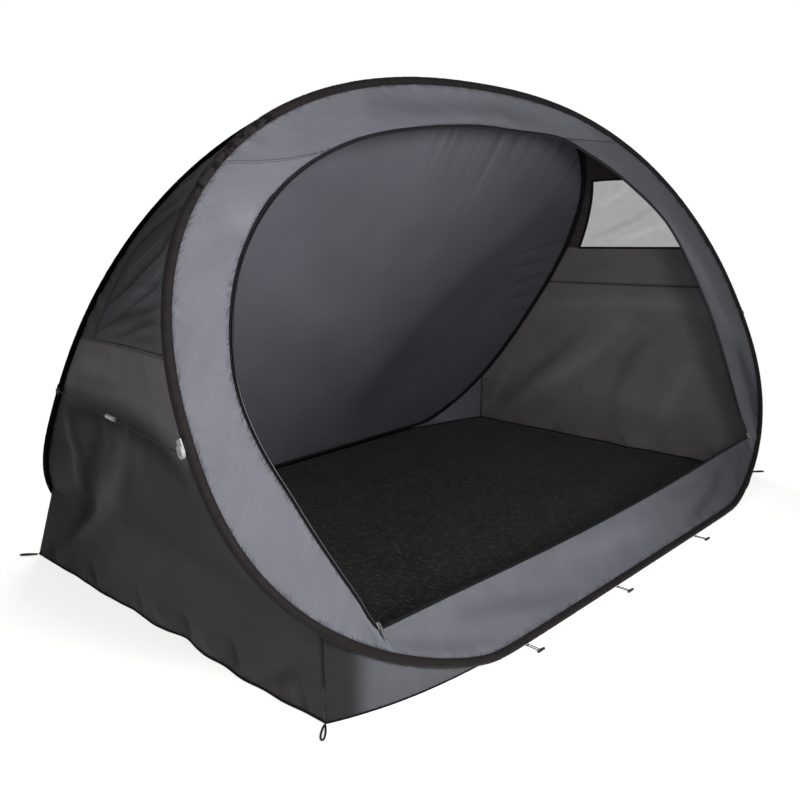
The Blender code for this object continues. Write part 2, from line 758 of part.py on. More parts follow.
def make_zip_hardware(side, name):
    depth = SLIDER_SIZE[2]
    base = zip_frame(side)
    body = box(SLIDER_SIZE, (0, 0, depth / 2), bevel=0.0008)
    slider = as_object("zip_slider_" + name, body, "nickel", base)
    bridge = plate(bridge_outline(), BRIDGE_WIDTH)
    upright = Matrix(((0, 0, 1), (1, 0, 0), (0, 1, 0)))
    bmesh.ops.rotate(bridge, verts=bridge.verts, cent=(0, 0, 0), matrix=upright)
    bmesh.ops.translate(bridge, verts=bridge.verts, vec=(0, 0, depth))
    combine(slider, [bridge], "UNION")

    hinge = base @ Matrix.Translation((0, -CROSSBAR_DROP, depth + CROSSBAR_HEIGHT))
    down = CROSSBAR_RADIUS - TAB_LENGTH / 2
    outline = [(x, y + down) for x, y in rounded_outline(TAB_WIDTH, TAB_LENGTH)]
    tab = as_object("zip_pull_" + name, plate(outline, TAB_THICKNESS), "nickel", hinge)
    wide, tall = TAB_SLOT
    slot = box((wide, tall, 0.01), (0, -CROSSBAR_RADIUS - tall / 2, 0))
    tip = rod(TAB_TIP_HOLE, 0.01, (0, 0, 1), (0, TAB_WIDTH / 2 - TAB_LENGTH, 0))
    combine(tab, [slot, tip], "DIFFERENCE")


def arc_strap(name, spot, across, up, outward, look):
    """A short curved band on a sleeve's outer face."""
    inner = SLEEVE_RADIUS + GAP
    angles = np.radians(np.linspace(-STRAP_ARC / 2, STRAP_ARC / 2, 7))
    ring = [(inner * math.sin(a), inner * math.cos(a)) for a in angles]
    outer = [(x * (1 + STRAP_THICKNESS / inner), y * (1 + STRAP_THICKNESS / inner)) for x, y in ring]
    shape = plate(ring + outer[::-1], STRAP_LENGTH)
    place = Matrix((Vector(across), Vector(outward), Vector(up))).transposed().to_4x4()
    return as_object(name, shape, look, Matrix.Translation(Vector(spot)) @ place)


def buckle_outline():
    """A plate with a square end on the sleeve and a round end under the disc."""
    half = BUCKLE_WIDTH / 2
    angles = np.radians(np.linspace(180, 360, 13))
    round_end = [(half * math.cos(a), half * math.sin(a)) for a in angles]
    top = BUCKLE_LENGTH - half
    return round_end + [(half, top), (-half, top)]


def hoop_at_height(points, height):
    """The spot on a hoop's side at this height, and the way the hoop runs there."""
    rising = points[: FRONT_AT["window"] + 1]
    upper = int(np.searchsorted(rising[:, 2], height))
    low, high = rising[upper - 1], rising[upper]
    share = (height - low[2]) / (high[2] - low[2])
    return low + (high - low) * share, unit(high - low)


def make_side_cord(side, name):
    flip = np.array([side, 1.0, 1.0])
    front_spot, front_up = hoop_at_height(FRONT_PTS, CORD_FRONT_Z)
    rear_spot, rear_up = hoop_at_height(REAR_PTS, CORD_REAR_Z)
    ends = []
    for label, spot, up, other in (
        ("buckle_strap_", front_spot * flip, front_up * flip, rear_spot * flip),
        ("cord_tab_", rear_spot * flip, rear_up * flip, front_spot * flip),
    ):
        across = other - spot
        across = unit(across - up * across.dot(up))
        outward = np.cross(across, up)
        outward = outward * np.sign(outward[0] * side)
        arc_strap(label + name, spot, across, up, outward, "elastic")
        ends.append((spot, across, up, outward))
    spot, across, up, outward = ends[0]
    lift = SLEEVE_RADIUS + GAP * 2 + STRAP_THICKNESS + BUCKLE_PLATE / 2
    centre = spot + outward * lift + across * BUCKLE_ACROSS - up * BUCKLE_DROP
    sideways = across if np.cross(across, up).dot(outward) > 0 else -across
    place = Matrix((Vector(sideways), Vector(up), Vector(outward))).transposed()
    place = Matrix.Translation(Vector(centre)) @ place.to_4x4()
    buckle = as_object("cord_buckle_" + name, plate(buckle_outline(), BUCKLE_PLATE), "grey_plastic", place)
    above = DISC_DEPTH / 2 - BUCKLE_PLATE / 4
    combine(buckle, [rod(DISC_RADIUS, DISC_DEPTH, (0, 0, 1), (0, 0, above), sides=28)], "UNION")
    hollow = rod(DISC_HOLE, DISC_DEPTH, (0, 0, 1), (0, 0, above + BUCKLE_PLATE), sides=16)
    combine(buckle, [hollow], "DIFFERENCE")
    combine(buckle, [rod(RIVET_RADIUS, DISC_DEPTH, (0, 0, 1), (RIVET_OFF, 0, above), sides=16)], "UNION")
    start = centre + across * (DISC_RADIUS + GAP) + outward * above
    rear_spot, _, _, rear_out = ends[1]
    finish = rear_spot + rear_out * (SLEEVE_RADIUS + GAP * 2 + STRAP_THICKNESS + CORD_RADIUS)
    run = finish - start
    tube("side_cord_" + name, [start, start + run / 2, finish], CORD_RADIUS, "elastic")
    ring = rod(FERRULE_RADIUS, FERRULE_LENGTH, (0, 0, 1))
    place = frame_at(start + run * FERRULE_AT, (0, 0, 1), run)
    ferrule = as_object("cord_ferrule_" + name, ring, "pale_plastic", place)
    combine(ferrule, [rod(CORD_RADIUS + GAP, 2 * FERRULE_LENGTH, (0, 0, 1))], "DIFFERENCE")


def make_peg_loops():
    for name, x_side, hem_y, y_side in (
        ("front_left", -1, hem_front, -1),
        ("front_right", 1, hem_front, -1),
        ("rear_left", -1, hem_rear, 1),
        ("rear_right", 1, hem_rear, 1),
    ):
        corner = Vector((x_side * (HEM_HALF_LENGTH + FLOOR_MARGIN), float(hem_y(HEM_HALF_LENGTH)), 0))
        way = Vector((x_side, y_side * LOOP_TURN, 0)).normalized()
        angles = np.linspace(0, 2 * math.pi, 17)[:-1]
        half = LOOP_LENGTH / 2 - LOOP_CORD_RADIUS
        wide = LOOP_WIDTH / 2 - LOOP_CORD_RADIUS
        along = half * np.cos(angles)
        across = wide * np.sin(angles) * (1 - LOOP_NARROWING * (1 - np.cos(angles)))
        middle = corner + way * (half + LOOP_CORD_RADIUS + GAP * 2)
        side = Vector((-way.y, way.x, 0))
        lift = Vector((0, 0, LOOP_CORD_RADIUS))
        points = [middle + way * a + side * b + lift for a, b in zip(along, across)]
        tube("peg_loop_" + name, points, LOOP_CORD_RADIUS, "elastic", closed=True)


def make_toggles():
    """A T bar on two elastic strands that lie on the ground, out from the front hoop."""
    for name, x in zip(("left", "middle", "right"), TOGGLE_XS):
        half = slice(0, FRONT_AT["sill"])
        hoop_y, hoop_z = (float(np.interp(abs(x), FRONT_PTS[half, 0], FRONT_PTS[half, k])) for k in (1, 2))
        below = hoop_z - STRAND_HEIGHT - STRAND_END_RADIUS
        near = math.sqrt(SLEEVE_RADIUS**2 - below**2) + GAP
        place = Matrix.Translation(Vector((x, hoop_y - near - TOGGLE_REACH, 0)))
        bar = box(TOGGLE_BAR, (0, 0, TOGGLE_BAR[2] / 2), bevel=0.0012)
        toggle = as_object("sill_toggle_" + name, bar, "dark_plastic", place)
        strands = [
            rod(STRAND_RADIUS, TOGGLE_REACH, (0, 1, 0), (side, TOGGLE_REACH / 2, STRAND_HEIGHT), sides=8)
            for side in (-STRAND_SPREAD / 2, STRAND_SPREAD / 2)
        ]
        end = (0, TOGGLE_REACH - STRAND_END_RADIUS, STRAND_HEIGHT)
        width = STRAND_SPREAD + 2 * STRAND_END_RADIUS
        strands.append(rod(STRAND_END_RADIUS, width, (1, 0, 0), end, sides=8))
        combine(toggle, strands, "UNION")


clear_scene()
make_floor()
make_hoop("front_hoop", FRONT_PTS, "front_sleeve")
make_hoop("rear_hoop", REAR_PTS, "rear_sleeve")
make_front()
make_sill()
make_sides()
make_corners()
make_rear_panel()
for side, name in ((-1, "left"), (1, "right")):
    make_zip_hardware(side, name)
    make_side_cord(side, name)
make_peg_loops()
make_toggles()
settle_all()
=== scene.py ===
import math

import bmesh
import bpy
import numpy as np
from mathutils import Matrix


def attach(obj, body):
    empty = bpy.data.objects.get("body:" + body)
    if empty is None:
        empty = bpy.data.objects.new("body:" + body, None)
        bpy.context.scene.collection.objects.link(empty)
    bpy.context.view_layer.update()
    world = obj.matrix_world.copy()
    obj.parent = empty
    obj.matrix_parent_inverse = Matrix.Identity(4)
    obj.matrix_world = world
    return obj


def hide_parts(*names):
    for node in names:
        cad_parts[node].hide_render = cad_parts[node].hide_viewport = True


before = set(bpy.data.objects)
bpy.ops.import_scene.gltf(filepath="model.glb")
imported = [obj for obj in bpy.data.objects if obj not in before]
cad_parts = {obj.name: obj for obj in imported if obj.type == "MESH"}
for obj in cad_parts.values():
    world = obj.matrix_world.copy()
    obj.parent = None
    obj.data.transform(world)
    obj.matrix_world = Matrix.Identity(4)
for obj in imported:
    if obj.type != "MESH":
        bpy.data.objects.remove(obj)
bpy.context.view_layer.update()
print("frame loaded:", len(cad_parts), "nodes")


def linearColour(hexText):
    # sRGB hex to linear: c / 12.92 when dark, else ((c + 0.055) / 1.055) ^ 2.4
    raw = [int(hexText[i:i + 2], 16) / 255 for i in (1, 3, 5)]
    return tuple(c / 12.92 if c <= 0.04045 else ((c + 0.055) / 1.055) ** 2.4 for c in raw) + (1.0,)


usualOutputs = (
    "Fac", "Object", "Result", "Value", "UV", "Normal", "Color", "Vector", "Background", "Emission", "Shader", "BSDF",
)


def fillInputs(tree, node, inputs):
    # a node (by its usual output) or a socket is linked, anything else is set as a constant
    for name, value in inputs.items():
        if isinstance(value, bpy.types.Node):
            value = next(value.outputs[output] for output in usualOutputs if output in value.outputs)
        if isinstance(value, bpy.types.NodeSocket):
            tree.links.new(value, node.inputs[name])
        else:
            node.inputs[name].default_value = value


def addNode(tree, kind, inputs=None, **settings):
    # adds a node, sets its options, and fills or links its inputs
    node = tree.nodes.new("ShaderNode" + kind)
    for name, value in settings.items():
        setattr(node, name, value)
    fillInputs(tree, node, inputs or {})
    return node


def newMaterial(name):
    # a material with its node tree and its shader
    made = bpy.data.materials.new(name)
    made.use_nodes = True
    return made, made.node_tree, made.node_tree.nodes["Principled BSDF"]


def unit(v):
    # each vector divided by its length
    return v / np.maximum(np.linalg.norm(v, axis=-1, keepdims=True), 1e-12)


def mirrored(points, side):
    # x turned round on the left half, where side is -1
    return points * np.array([side, 1.0, 1.0])


def smoothStep(x, low, high):
    # 3t^2 - 2t^3 with t the clamped share of the way from low to high
    t = np.clip((x - low) / (high - low), 0, 1)
    return t * t * (3 - 2 * t)


def softNoise(x, y, seed):
    # value noise: random heights on a whole-number lattice, joined by smooth steps, from -1 to 1
    table = np.random.default_rng(seed).random((128, 128)) * 2 - 1
    x, y = np.broadcast_arrays(x, y)
    xi, yi = np.floor(x).astype(int), np.floor(y).astype(int)
    fx, fy = x - xi, y - yi
    fx, fy = fx * fx * (3 - 2 * fx), fy * fy * (3 - 2 * fy)
    corner = lambda i, j: table[(xi + i) % 128, (yi + j) % 128]
    low = corner(0, 0) * (1 - fx) + corner(1, 0) * fx
    high = corner(0, 1) * (1 - fx) + corner(1, 1) * fx
    return low * (1 - fy) + high * fy


def layeredNoise(x, y, seed, layers=3):
    # sum of value noises, each twice as fine and half as high as the one before
    total = sum(softNoise(x * 2 ** n + 7.3 * n, y * 2 ** n - 3.1 * n, seed + n) / 2 ** n for n in range(layers))
    return total / (2 - 2 ** (1 - layers))


def creaseLine(crease):
    # a crease is its width, its height and the two coordinates of each corner of its line, in millimetres
    return np.array(crease[2:]).reshape(-1, 2) / 1000


def creaseField(x, y, creases):
    # each crease is a ridge or valley: height * exp(-(distance to its line / width)^2), faded at both ends
    total = np.zeros(np.broadcast(x, y).shape)
    for crease in creases:
        width, height, line = crease[0] / 1000, crease[1] / 1000, creaseLine(crease)
        steps = np.hypot(*np.diff(line, axis=0).T)
        whole = steps.sum()
        nearest = np.full(total.shape, 1e9)
        share = np.zeros(total.shape)
        before = 0.0
        for (ax, ay), (bx, by), step in zip(line, line[1:], steps):
            t = np.clip(((x - ax) * (bx - ax) + (y - ay) * (by - ay)) / step ** 2, 0, 1)
            away = np.hypot(x - ax - t * (bx - ax), y - ay - t * (by - ay))
            share = np.where(away < nearest, (before + t * step) / whole, share)
            nearest = np.minimum(nearest, away)
            before += step
        fade = np.sin(np.pi * np.clip(0.08 + 0.84 * share, 0, 1)) ** 0.7
        total += height * fade * np.exp(-(nearest / width) ** 2)
    return total


def gridNormals(points):
    # cross product of the two differences along the grid
    along = np.gradient(points, axis=0)
    across = np.gradient(points, axis=1)
    return unit(np.cross(along, across))


def pushed(points, amount, outside):
    # moves each point along its normal, turned to face the outside point
    normals = gridNormals(points)
    facing = np.sign(((np.array(outside) - points) * normals).sum(-1).mean())
    return points + normals * facing * amount[..., None]


def placed(name, mesh):
    # a new object in the scene for a mesh
    made = bpy.data.objects.new(name, mesh)
    bpy.context.scene.collection.objects.link(made)
    return made


def edited(mesh, change):
    # one bmesh operation on a mesh
    work = bmesh.new()
    work.from_mesh(mesh)
    change(work)
    work.to_mesh(mesh)
    work.free()


def keepOnPoints(mesh, tone, seam):
    # "crease": painted shade and light, below 0 painted darker (valleys and shaded places), above 0 painted lighter
    # (ridges and lit places); "seam": place along the nearest seam, distance from it
    paintedShade = mesh.attributes.new("crease", "FLOAT", "POINT")
    paintedShade.data.foreach_set("value", tone.astype(np.float32).ravel())
    near = mesh.attributes.new("seam", "FLOAT_VECTOR", "POINT")
    near.data.foreach_set("vector", np.concatenate([seam, 0 * seam[:, :1]], axis=1).astype(np.float32).ravel())


def fromEdge(uv, end):
    # the place along one edge of a grid, and the distance from that edge
    return {"start": (uv[..., 0], uv[..., 1]), "end": (uv[..., 0], uv[:, -1:, 1] - uv[..., 1]),
            "low": (uv[..., 1], uv[..., 0]), "high": (uv[..., 1], uv[-1:, :, 0] - uv[..., 0])}[end]


def seamMap(uv, ends):
    # for each point: its place along the nearest of the named edges, and its distance from that edge
    along, away = uv[..., 0], np.full(uv.shape[:2], 1.0)
    for end in ends:
        place, distance = fromEdge(uv, end)
        # so that no two edges have the same ticks
        apart = {"start": 0, "end": 20, "low": 40, "high": 60}[end]
        along, away = np.where(distance < away, place + apart, along), np.minimum(distance, away)
    return np.stack([along, away], axis=-1)


def gridMesh(name, points, uv, outside=None, loop=False, capped=False, tone=None, seam=None):
    # quads over a grid of points; loop joins the last column to the first, capped closes the two ends
    points = settled(points)
    rows, columns = points.shape[:2]
    index = np.arange(rows * columns).reshape(rows, columns)
    if loop:
        index = np.concatenate([index, index[:, :1]], axis=1)
    quads = np.stack([index[:-1, :-1], index[1:, :-1], index[1:, 1:], index[:-1, 1:]], axis=-1).reshape(-1, 4)
    flat = points.reshape(-1, 3)
    if outside is not None:
        a, b, c = (flat[quads[:, k]] for k in (0, 1, 3))
        normal = np.cross(b - a, c - a)
        if ((np.array(outside) - a) * normal).sum() < 0:
            quads = quads[:, ::-1]
    mesh = bpy.data.meshes.new(name)
    faces = quads.tolist()
    if capped:
        faces += [index[0, :columns].tolist(), index[-1, :columns][::-1].tolist()]
    mesh.from_pydata(flat, [], faces)
    layer = mesh.uv_layers.new(name="cloth")
    corners = np.empty(len(mesh.loops), int)
    mesh.loops.foreach_get("vertex_index", corners)
    spread = np.broadcast_to(uv, points.shape[:2] + (2,)).reshape(-1, 2)[corners]
    if loop:
        # the seam's last column of corners gets the full turn instead of zero
        turn = spread.reshape(-1, 2)
        width = uv[..., 1].max() * columns / max(columns - 1, 1)
        quadUv = turn[:len(quads) * 4].reshape(-1, 4, 2)
        wraps = (quadUv[..., 1].max(1) - quadUv[..., 1].min(1)) > width / 2
        quadUv[wraps, :, 1] += np.where(quadUv[wraps, :, 1] < width / 2, width, 0)
        spread = np.concatenate([quadUv.reshape(-1, 2), turn[len(quads) * 4:]])
    layer.data.foreach_set("uv", spread.astype(np.float32).ravel())
    tone = np.zeros(points.shape[:2]) if tone is None else np.broadcast_to(tone, points.shape[:2])
    seam = np.broadcast_to([0.0, 1.0], points.shape[:2] + (2,)) if seam is None else seam
    keepOnPoints(mesh, tone, seam.reshape(-1, 2))
    mesh.shade_smooth()
    mesh.update()
    return placed(name, mesh)


def thickened(piece, thickness):
    # half of the thickness on each side of the surface
    solid = piece.modifiers.new("Thickness", "SOLIDIFY")
    solid.thickness = thickness
    solid.offset = 0.0
    return piece


def dressed(piece, material, body="shell"):
    # material, body and slot of a drawn piece
    piece.data.materials.clear()
    piece.data.materials.append(material)
    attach(piece, body)
    return piece


def clothUv(points):
    # real lengths along the grid's two ways, in metres, so that weave and stitches keep their size
    alongStep = np.linalg.norm(np.diff(points, axis=0), axis=-1)
    acrossStep = np.linalg.norm(np.diff(points, axis=1), axis=-1)
    u = np.concatenate([np.zeros((1, points.shape[1])), np.cumsum(alongStep, axis=0)])
    v = np.concatenate([np.zeros((points.shape[0], 1)), np.cumsum(acrossStep, axis=1)], axis=1)
    return np.stack([u, v], axis=-1)


def tubeMesh(name, path, radius, sides=12, closed=False, reference=(0.0, 1.0, 0.0), tone=None):
    # circle of the given radius (a number, or one value per point and side) carried along a path
    path = np.asarray(path, float)
    if closed:
        tangent = unit(np.roll(path, -1, axis=0) - np.roll(path, 1, axis=0))
    else:
        tangent = unit(np.gradient(path, axis=0))
    first = unit(np.array(reference) - tangent * (tangent @ np.array(reference))[:, None])
    second = np.cross(tangent, first)
    angle = np.arange(sides) / sides * 2 * np.pi
    ring = first[:, None] * np.cos(angle)[None, :, None] + second[:, None] * np.sin(angle)[None, :, None]
    radius = np.broadcast_to(np.asarray(radius, float), (len(path), sides))
    points = path[:, None] + ring * radius[..., None]
    length = np.concatenate([[0], np.cumsum(np.linalg.norm(np.diff(path, axis=0), axis=1))])
    if closed:
        points = np.concatenate([points, points[:1]])
        length = np.append(length, length[-1] + np.linalg.norm(path[-1] - path[0]))
    around = angle * np.mean(radius)
    uv = np.stack(np.meshgrid(length, around, indexing="ij"), axis=-1)
    made = gridMesh(name, points, uv, loop=True, capped=not closed, tone=tone)
    if closed:
        edited(made.data, lambda work: bmesh.ops.remove_doubles(work, verts=work.verts, dist=1e-6))
    return made


def stitchRow(path, normals, look):
    # small raised boxes set along a path: each one spans a share of its pitch, and lies on the given normals
    path, normals = np.asarray(path, float), unit(np.asarray(normals, float))
    lengths = lengthsAlong(path)
    count = max(int(lengths[-1] / look["pitch"]), 1)
    at = (np.arange(count) + 0.5) / count * lengths[-1]
    centre, up = sampledValues(path, path, at), unit(sampledValues(path, normals, at))
    ways = unit(np.gradient(sampledValues(path, path, at), axis=0)) if count > 1 else unit(path[-1:] - path[:1])
    aside = unit(np.cross(up, ways))
    corners = np.array([(a, b, c) for a in (-1, 1) for b in (-1, 1) for c in (-1, 1)], float) / 2
    shape = corners * np.array([look["length"], look["width"], look["height"]])
    spots = (centre[:, None] + shape[None, :, :1] * ways[:, None] + shape[None, :, 1:2] * aside[:, None]
             + (shape[None, :, 2:] + look["lift"]) * up[:, None])
    faces = np.array([(0, 1, 3, 2), (4, 6, 7, 5), (0, 4, 5, 1), (2, 3, 7, 6), (0, 2, 6, 4), (1, 5, 7, 3)])
    faces = (np.arange(count)[:, None, None] * 8 + faces[None]).reshape(-1, 4)
    return spots.reshape(-1, 3), faces


def stitchedPiece(name, rows, material):
    # several stitched rows joined as one mesh
    starts = np.cumsum([0] + [len(spots) for spots, _ in rows])
    spots, faces = [spots for spots, _ in rows], [faces + start for (_, faces), start in zip(rows, starts)]
    mesh = bpy.data.meshes.new(name)
    mesh.from_pydata(settled(np.vstack(spots)), [], np.vstack(faces).tolist())
    mesh.update()
    edited(mesh, lambda work: bmesh.ops.recalc_face_normals(work, faces=work.faces))
    return dressed(placed(name, mesh), material)


tent = {
    "height": 1.360,        # top of the sleeves
    "sleeveRadius": 0.011,
    "gap": 0.0003,
    "seamGap": 0.0006, "tuck": 0.0015,
    "clothThickness": 0.0008,
    "groundEase": 0.012,
}
frontHoop = {
    "side": -1, "halfWidth": 1.230, "widestAt": 0.593, "upperPower": 2.30, "lowerPower": 2.40,
    "sunk": 0.055, "reach": 0.600, "leanPower": 1.16,
}
rearHoop = {
    "side": 1, "halfWidth": 1.067, "widestAt": 0.494, "upperPower": 2.63, "lowerPower": 2.94,
    "sunk": 0.088, "reach": 0.936, "leanPower": 1.12,
}
hem = {
    "halfLength": 1.078, "bulge": 0.004, "front": 0.584, "rear": 0.907,
    "cornerSetback": 0.104, "rearSetback": 0.094, "power": 5.0, "footZ": 0.0033, "rearTuck": 0.021,
    "edgeRadius": 0.0028, "edgeZ": 0.0031, "edgeRise": 0.0006,      # the bound edge
    "scallops": [           # place from front to rear, width, how far out
        (0.10, 0.045, 0.010), (0.20, 0.050, 0.012), (0.31, 0.035, 0.006), (0.40, 0.035, -0.012),
        (0.49, 0.030, 0.004), (0.58, 0.030, -0.004), (0.70, 0.040, 0.003), (0.82, 0.030, -0.003),
    ],
}
settling = {
    "shift": 0.006, "tilt": 0.022, "waist": 0.020, "rearNarrower": 0.022, "rearBow": 0.019, "frontBow": 0.011,
}
doorway = {
    "halfWidth": 1.070, "widestAt": 0.620, "top": 1.230, "upperPower": 2.2, "lowerDepth": 0.925,
    "sillEnd": 0.176, "sillDip": 0.022, "zipWidth": 0.014, "overlap": 0.0045, "dishSlope": 0.12,
    "dishMost": 0.020,
    # ladder number, spread, how far out
    "sagsLeft": [(4.5, 4.0, -0.024), (7.5, 2.0, -0.008), (12.5, 2.2, 0.008), (28.0, 5.0, -0.006)],
    "sagsRight": [(3.0, 2.5, -0.010), (9.0, 7.5, -0.047), (14.5, 3.0, -0.018), (24.5, 4.5, 0.025)],
}


def leanAt(hoop, z):
    # y = side * (top + (reach - top) * (1 - z / height) ^ leanPower)
    top = tent["sleeveRadius"] + tent["gap"]
    rise = np.clip(1 - z / (tent["height"] - tent["sleeveRadius"]), 0, 1)
    return hoop["side"] * (top + (hoop["reach"] - top) * rise ** hoop["leanPower"])


def settled(points):
    # the standing tent is not even: its ridge leans to one side, its waist is wider and both hoops bow out;
    # high = smooth step of z, waist = sin(pi z / height), back = share of the way from front hoop to rear hoop
    x, y, z = points[..., 0], points[..., 1], points[..., 2]
    high = smoothStep(z, 0.25, 1.10)
    waist = np.sin(np.pi * np.clip(z / tent["height"], 0, 1))
    front, rear = leanAt(frontHoop, z), leanAt(rearHoop, z)
    back = np.clip((y - front) / (rear - front), 0, 1)
    along = settling["shift"] * high + x * (settling["waist"] * waist - settling["rearNarrower"] * high * back)
    deep = settling["rearBow"] * waist * back - settling["frontBow"] * waist * (1 - back)
    return points + np.stack([along, deep, -settling["tilt"] * high * x], axis=-1)


def halfHoop(hoop, steps=2401):
    # superellipse x = w * cos^(2/p), z = middle + h * sin^(2/p), flattened smoothly where it meets the ground
    t = np.linspace(-math.pi / 2, math.pi / 2, steps)
    upper = t > 0
    power = np.where(upper, hoop["upperPower"], hoop["lowerPower"])
    up = tent["height"] - tent["sleeveRadius"] - hoop["widestAt"]
    down = hoop["widestAt"] + hoop["sunk"]
    x = hoop["halfWidth"] * np.abs(np.cos(t)) ** (2 / power)
    z = hoop["widestAt"] + np.where(upper, up, -down) * np.abs(np.sin(t)) ** (2 / power)
    over = z - tent["sleeveRadius"]
    eased = (over + np.sqrt(over ** 2 + tent["groundEase"] ** 2)) / 2
    z = tent["sleeveRadius"] + eased - eased[0] * (1 - np.clip(eased / (4 * tent["groundEase"]), 0, 1))
    return np.stack([x, leanAt(hoop, z), z], axis=-1)


def lengthsAlong(points):
    # running sum of the distances from point to point
    return np.concatenate([[0.0], np.cumsum(np.linalg.norm(np.diff(points, axis=0), axis=1))])


# heights of the sewn lines where they meet a hoop; the sill and the ridge are given by x instead
levels = {
    "contact": 0.021, "corner": 0.217, "window": 0.790, "windowTop": 1.060, "seam": 1.165, "sillX": 0.930,
    "ridgeX": 0.350,
}
ladderTop = 35      # the border is counted from 0 at the sill to 35 at the top
borderHalf = 2.4    # about how long half of the border is


def levelArcs(points):
    # arc lengths of the seam levels on half a hoop, from the middle of the ground line to the ridge
    along = lengthsAlong(points)
    widest = int(np.argmax(points[:, 0]))
    arcs = {name: float(np.interp(levels[name], points[:, 2], along))
            for name in ("contact", "corner", "window", "windowTop", "seam")}
    arcs["sill"] = float(np.interp(levels["sillX"], points[:widest + 1, 0], along[:widest + 1]))
    arcs["ridge"] = float(np.interp(-levels["ridgeX"], -points[widest:, 0], along[widest:]))
    arcs["top"] = float(along[-1])
    return arcs


def sampled(points, arcs):
    # points at these arc lengths, straight between the given ones
    along = lengthsAlong(points)
    return np.stack([np.interp(arcs, along, points[:, k]) for k in range(3)], axis=-1)


def hoopDirections(points):
    # direction from the point before to the point after; the half is mirrored at both ends
    flip = np.array([-1.0, 1.0, 1.0])
    padded = np.vstack([points[1] * flip, points, points[-2] * flip])
    return unit(padded[2:] - padded[:-2])


def seatOn(points, along, towards, distance):
    # the point at this distance from the hoop's centre line, on the side that faces the target
    way = towards - points
    way = way - (way * along).sum(axis=-1, keepdims=True) * along
    return points + unit(way) * distance


frontHalf, rearHalf = halfHoop(frontHoop), halfHoop(rearHoop)
frontArcs, rearArcs = levelArcs(frontHalf), levelArcs(rearHalf)


def hoopAt(half, arcs):
    # points and directions of the hoop's line at these arc lengths
    dense = hoopDirections(half)
    return sampled(half, arcs), unit(sampledValues(half, dense, arcs))


def sampledValues(points, values, arcs):
    # values kept at the points, read at these arc lengths
    along = lengthsAlong(points)
    return np.stack([np.interp(arcs, along, values[:, k]) for k in range(values.shape[1])], axis=-1)


def halfArch(steps=1201):
    # the door's arch is a superellipse: x = w * cos^(2/p), z = middle + h * sin^(2/p), from the sill's end up
    low = (doorway["widestAt"] - doorway["sillEnd"]) / doorway["lowerDepth"]
    t = np.linspace(-math.asin(low), math.pi / 2, steps)
    upper = t > 0
    power = np.where(upper, doorway["upperPower"], 2.0)
    rise = np.where(upper, doorway["top"] - doorway["widestAt"], -doorway["lowerDepth"])
    x = doorway["halfWidth"] * np.abs(np.cos(t)) ** (2 / power)
    z = doorway["widestAt"] + rise * np.abs(np.sin(t)) ** (2 / power)
    return np.stack([x, np.zeros_like(x), z], axis=-1)


archHalf = halfArch()
archLengths = lengthsAlong(archHalf)
archMarks = np.interp([doorway["sillEnd"], 0.72, 0.95, levels["seam"], doorway["top"]], archHalf[:, 2], archLengths)
frontMarks = [frontArcs[k] for k in ("sill", "corner", "window", "windowTop", "seam", "ridge", "top")]


def archAt(index, distance):
    # the arch at these ladder numbers (0 at the sill, 35 at the top), moved outwards by a distance
    arcs = np.interp(index, [0, 14, 19, 22, ladderTop], archMarks)
    spots = sampled(archHalf, arcs)
    along = unit(sampledValues(archHalf, hoopDirections(archHalf), arcs))
    outward = np.stack([along[..., 2], np.zeros(along.shape[:-1]), -along[..., 0]], axis=-1)
    moved = spots + outward * np.asarray(distance)[..., None]
    moved[..., 2] = np.where(index <= 0, spots[..., 2], moved[..., 2])
    return moved


def doorShift(index, side):
    # how far the hanging door edge lies outside the even arch: far * exp(-((index - place) / spread)^2), summed
    left, right = (sum(far * np.exp(-((index - place) / spread) ** 2) for place, spread, far in doorway[name])
                   for name in ("sagsLeft", "sagsRight"))
    return np.where(side < 0, left, right) * smoothStep(index, 0, 2) * smoothStep(ladderTop - index, 0, 3)


def frontRim(index, towards):
    # where the border's cloth sits on the front hoop at these ladder numbers
    arcs = np.interp(index, [0, 4, 14, 19, 22, 31, ladderTop], frontMarks)
    spots, along = hoopAt(frontHalf, arcs)
    return seatOn(spots, along, towards, tent["sleeveRadius"] - tent["tuck"])


def onFrontLean(points):
    # the same x and z, with y on the leaning front
    return np.stack([points[..., 0], leanAt(frontHoop, points[..., 2]), points[..., 2]], axis=-1)


def dishDepth(start, end):
    # the cloth lies a little behind the hoop's plane: slope * width, capped
    width = np.hypot(end[..., 0] - start[..., 0], end[..., 2] - start[..., 2])
    return np.minimum(doorway["dishSlope"] * width, doorway["dishMost"])


def frontFace(start, end, share):
    # straight from start to end in x and z, on the leaning front in y, with the dish growing inwards
    grid = start[:, None] * (1 - share[..., None]) + end[:, None] * share[..., None]
    seated = (start[:, 1] - leanAt(frontHoop, start[:, 2]))[:, None] * (1 - share) ** 2
    grid[..., 1] = leanAt(frontHoop, grid[..., 2]) + dishDepth(start, end)[:, None] * share + seated
    return grid


clothHabits = {     # what a cloth has unless its own look says otherwise
    "thread": 0.0012, "roughness": 0.6, "gloss": 0.15, "sheen": 0.04,
    "streakWay": (40.0, 4.0, 1.0), "streaks": 0.35,                                 # faint streaks along the weave
    # painted shade: valleyShade darkens valleys and shaded places, ridgeShade paints ridges and lit places lighter;
    # gatherShade paints dark ticks of shade in the gathers
    "valleyShade": 0.35, "ridgeShade": 0.10,                                        # darker valleys, lighter ridges
    "gather": 0.0042, "gatherReach": 0.019, "gatherShade": 0.45, "slant": 0.35,     # dark ticks beside the seams
    "crinkle": 0.15, "crinkleSize": 0.03, "weaveStrength": 0.25,
}


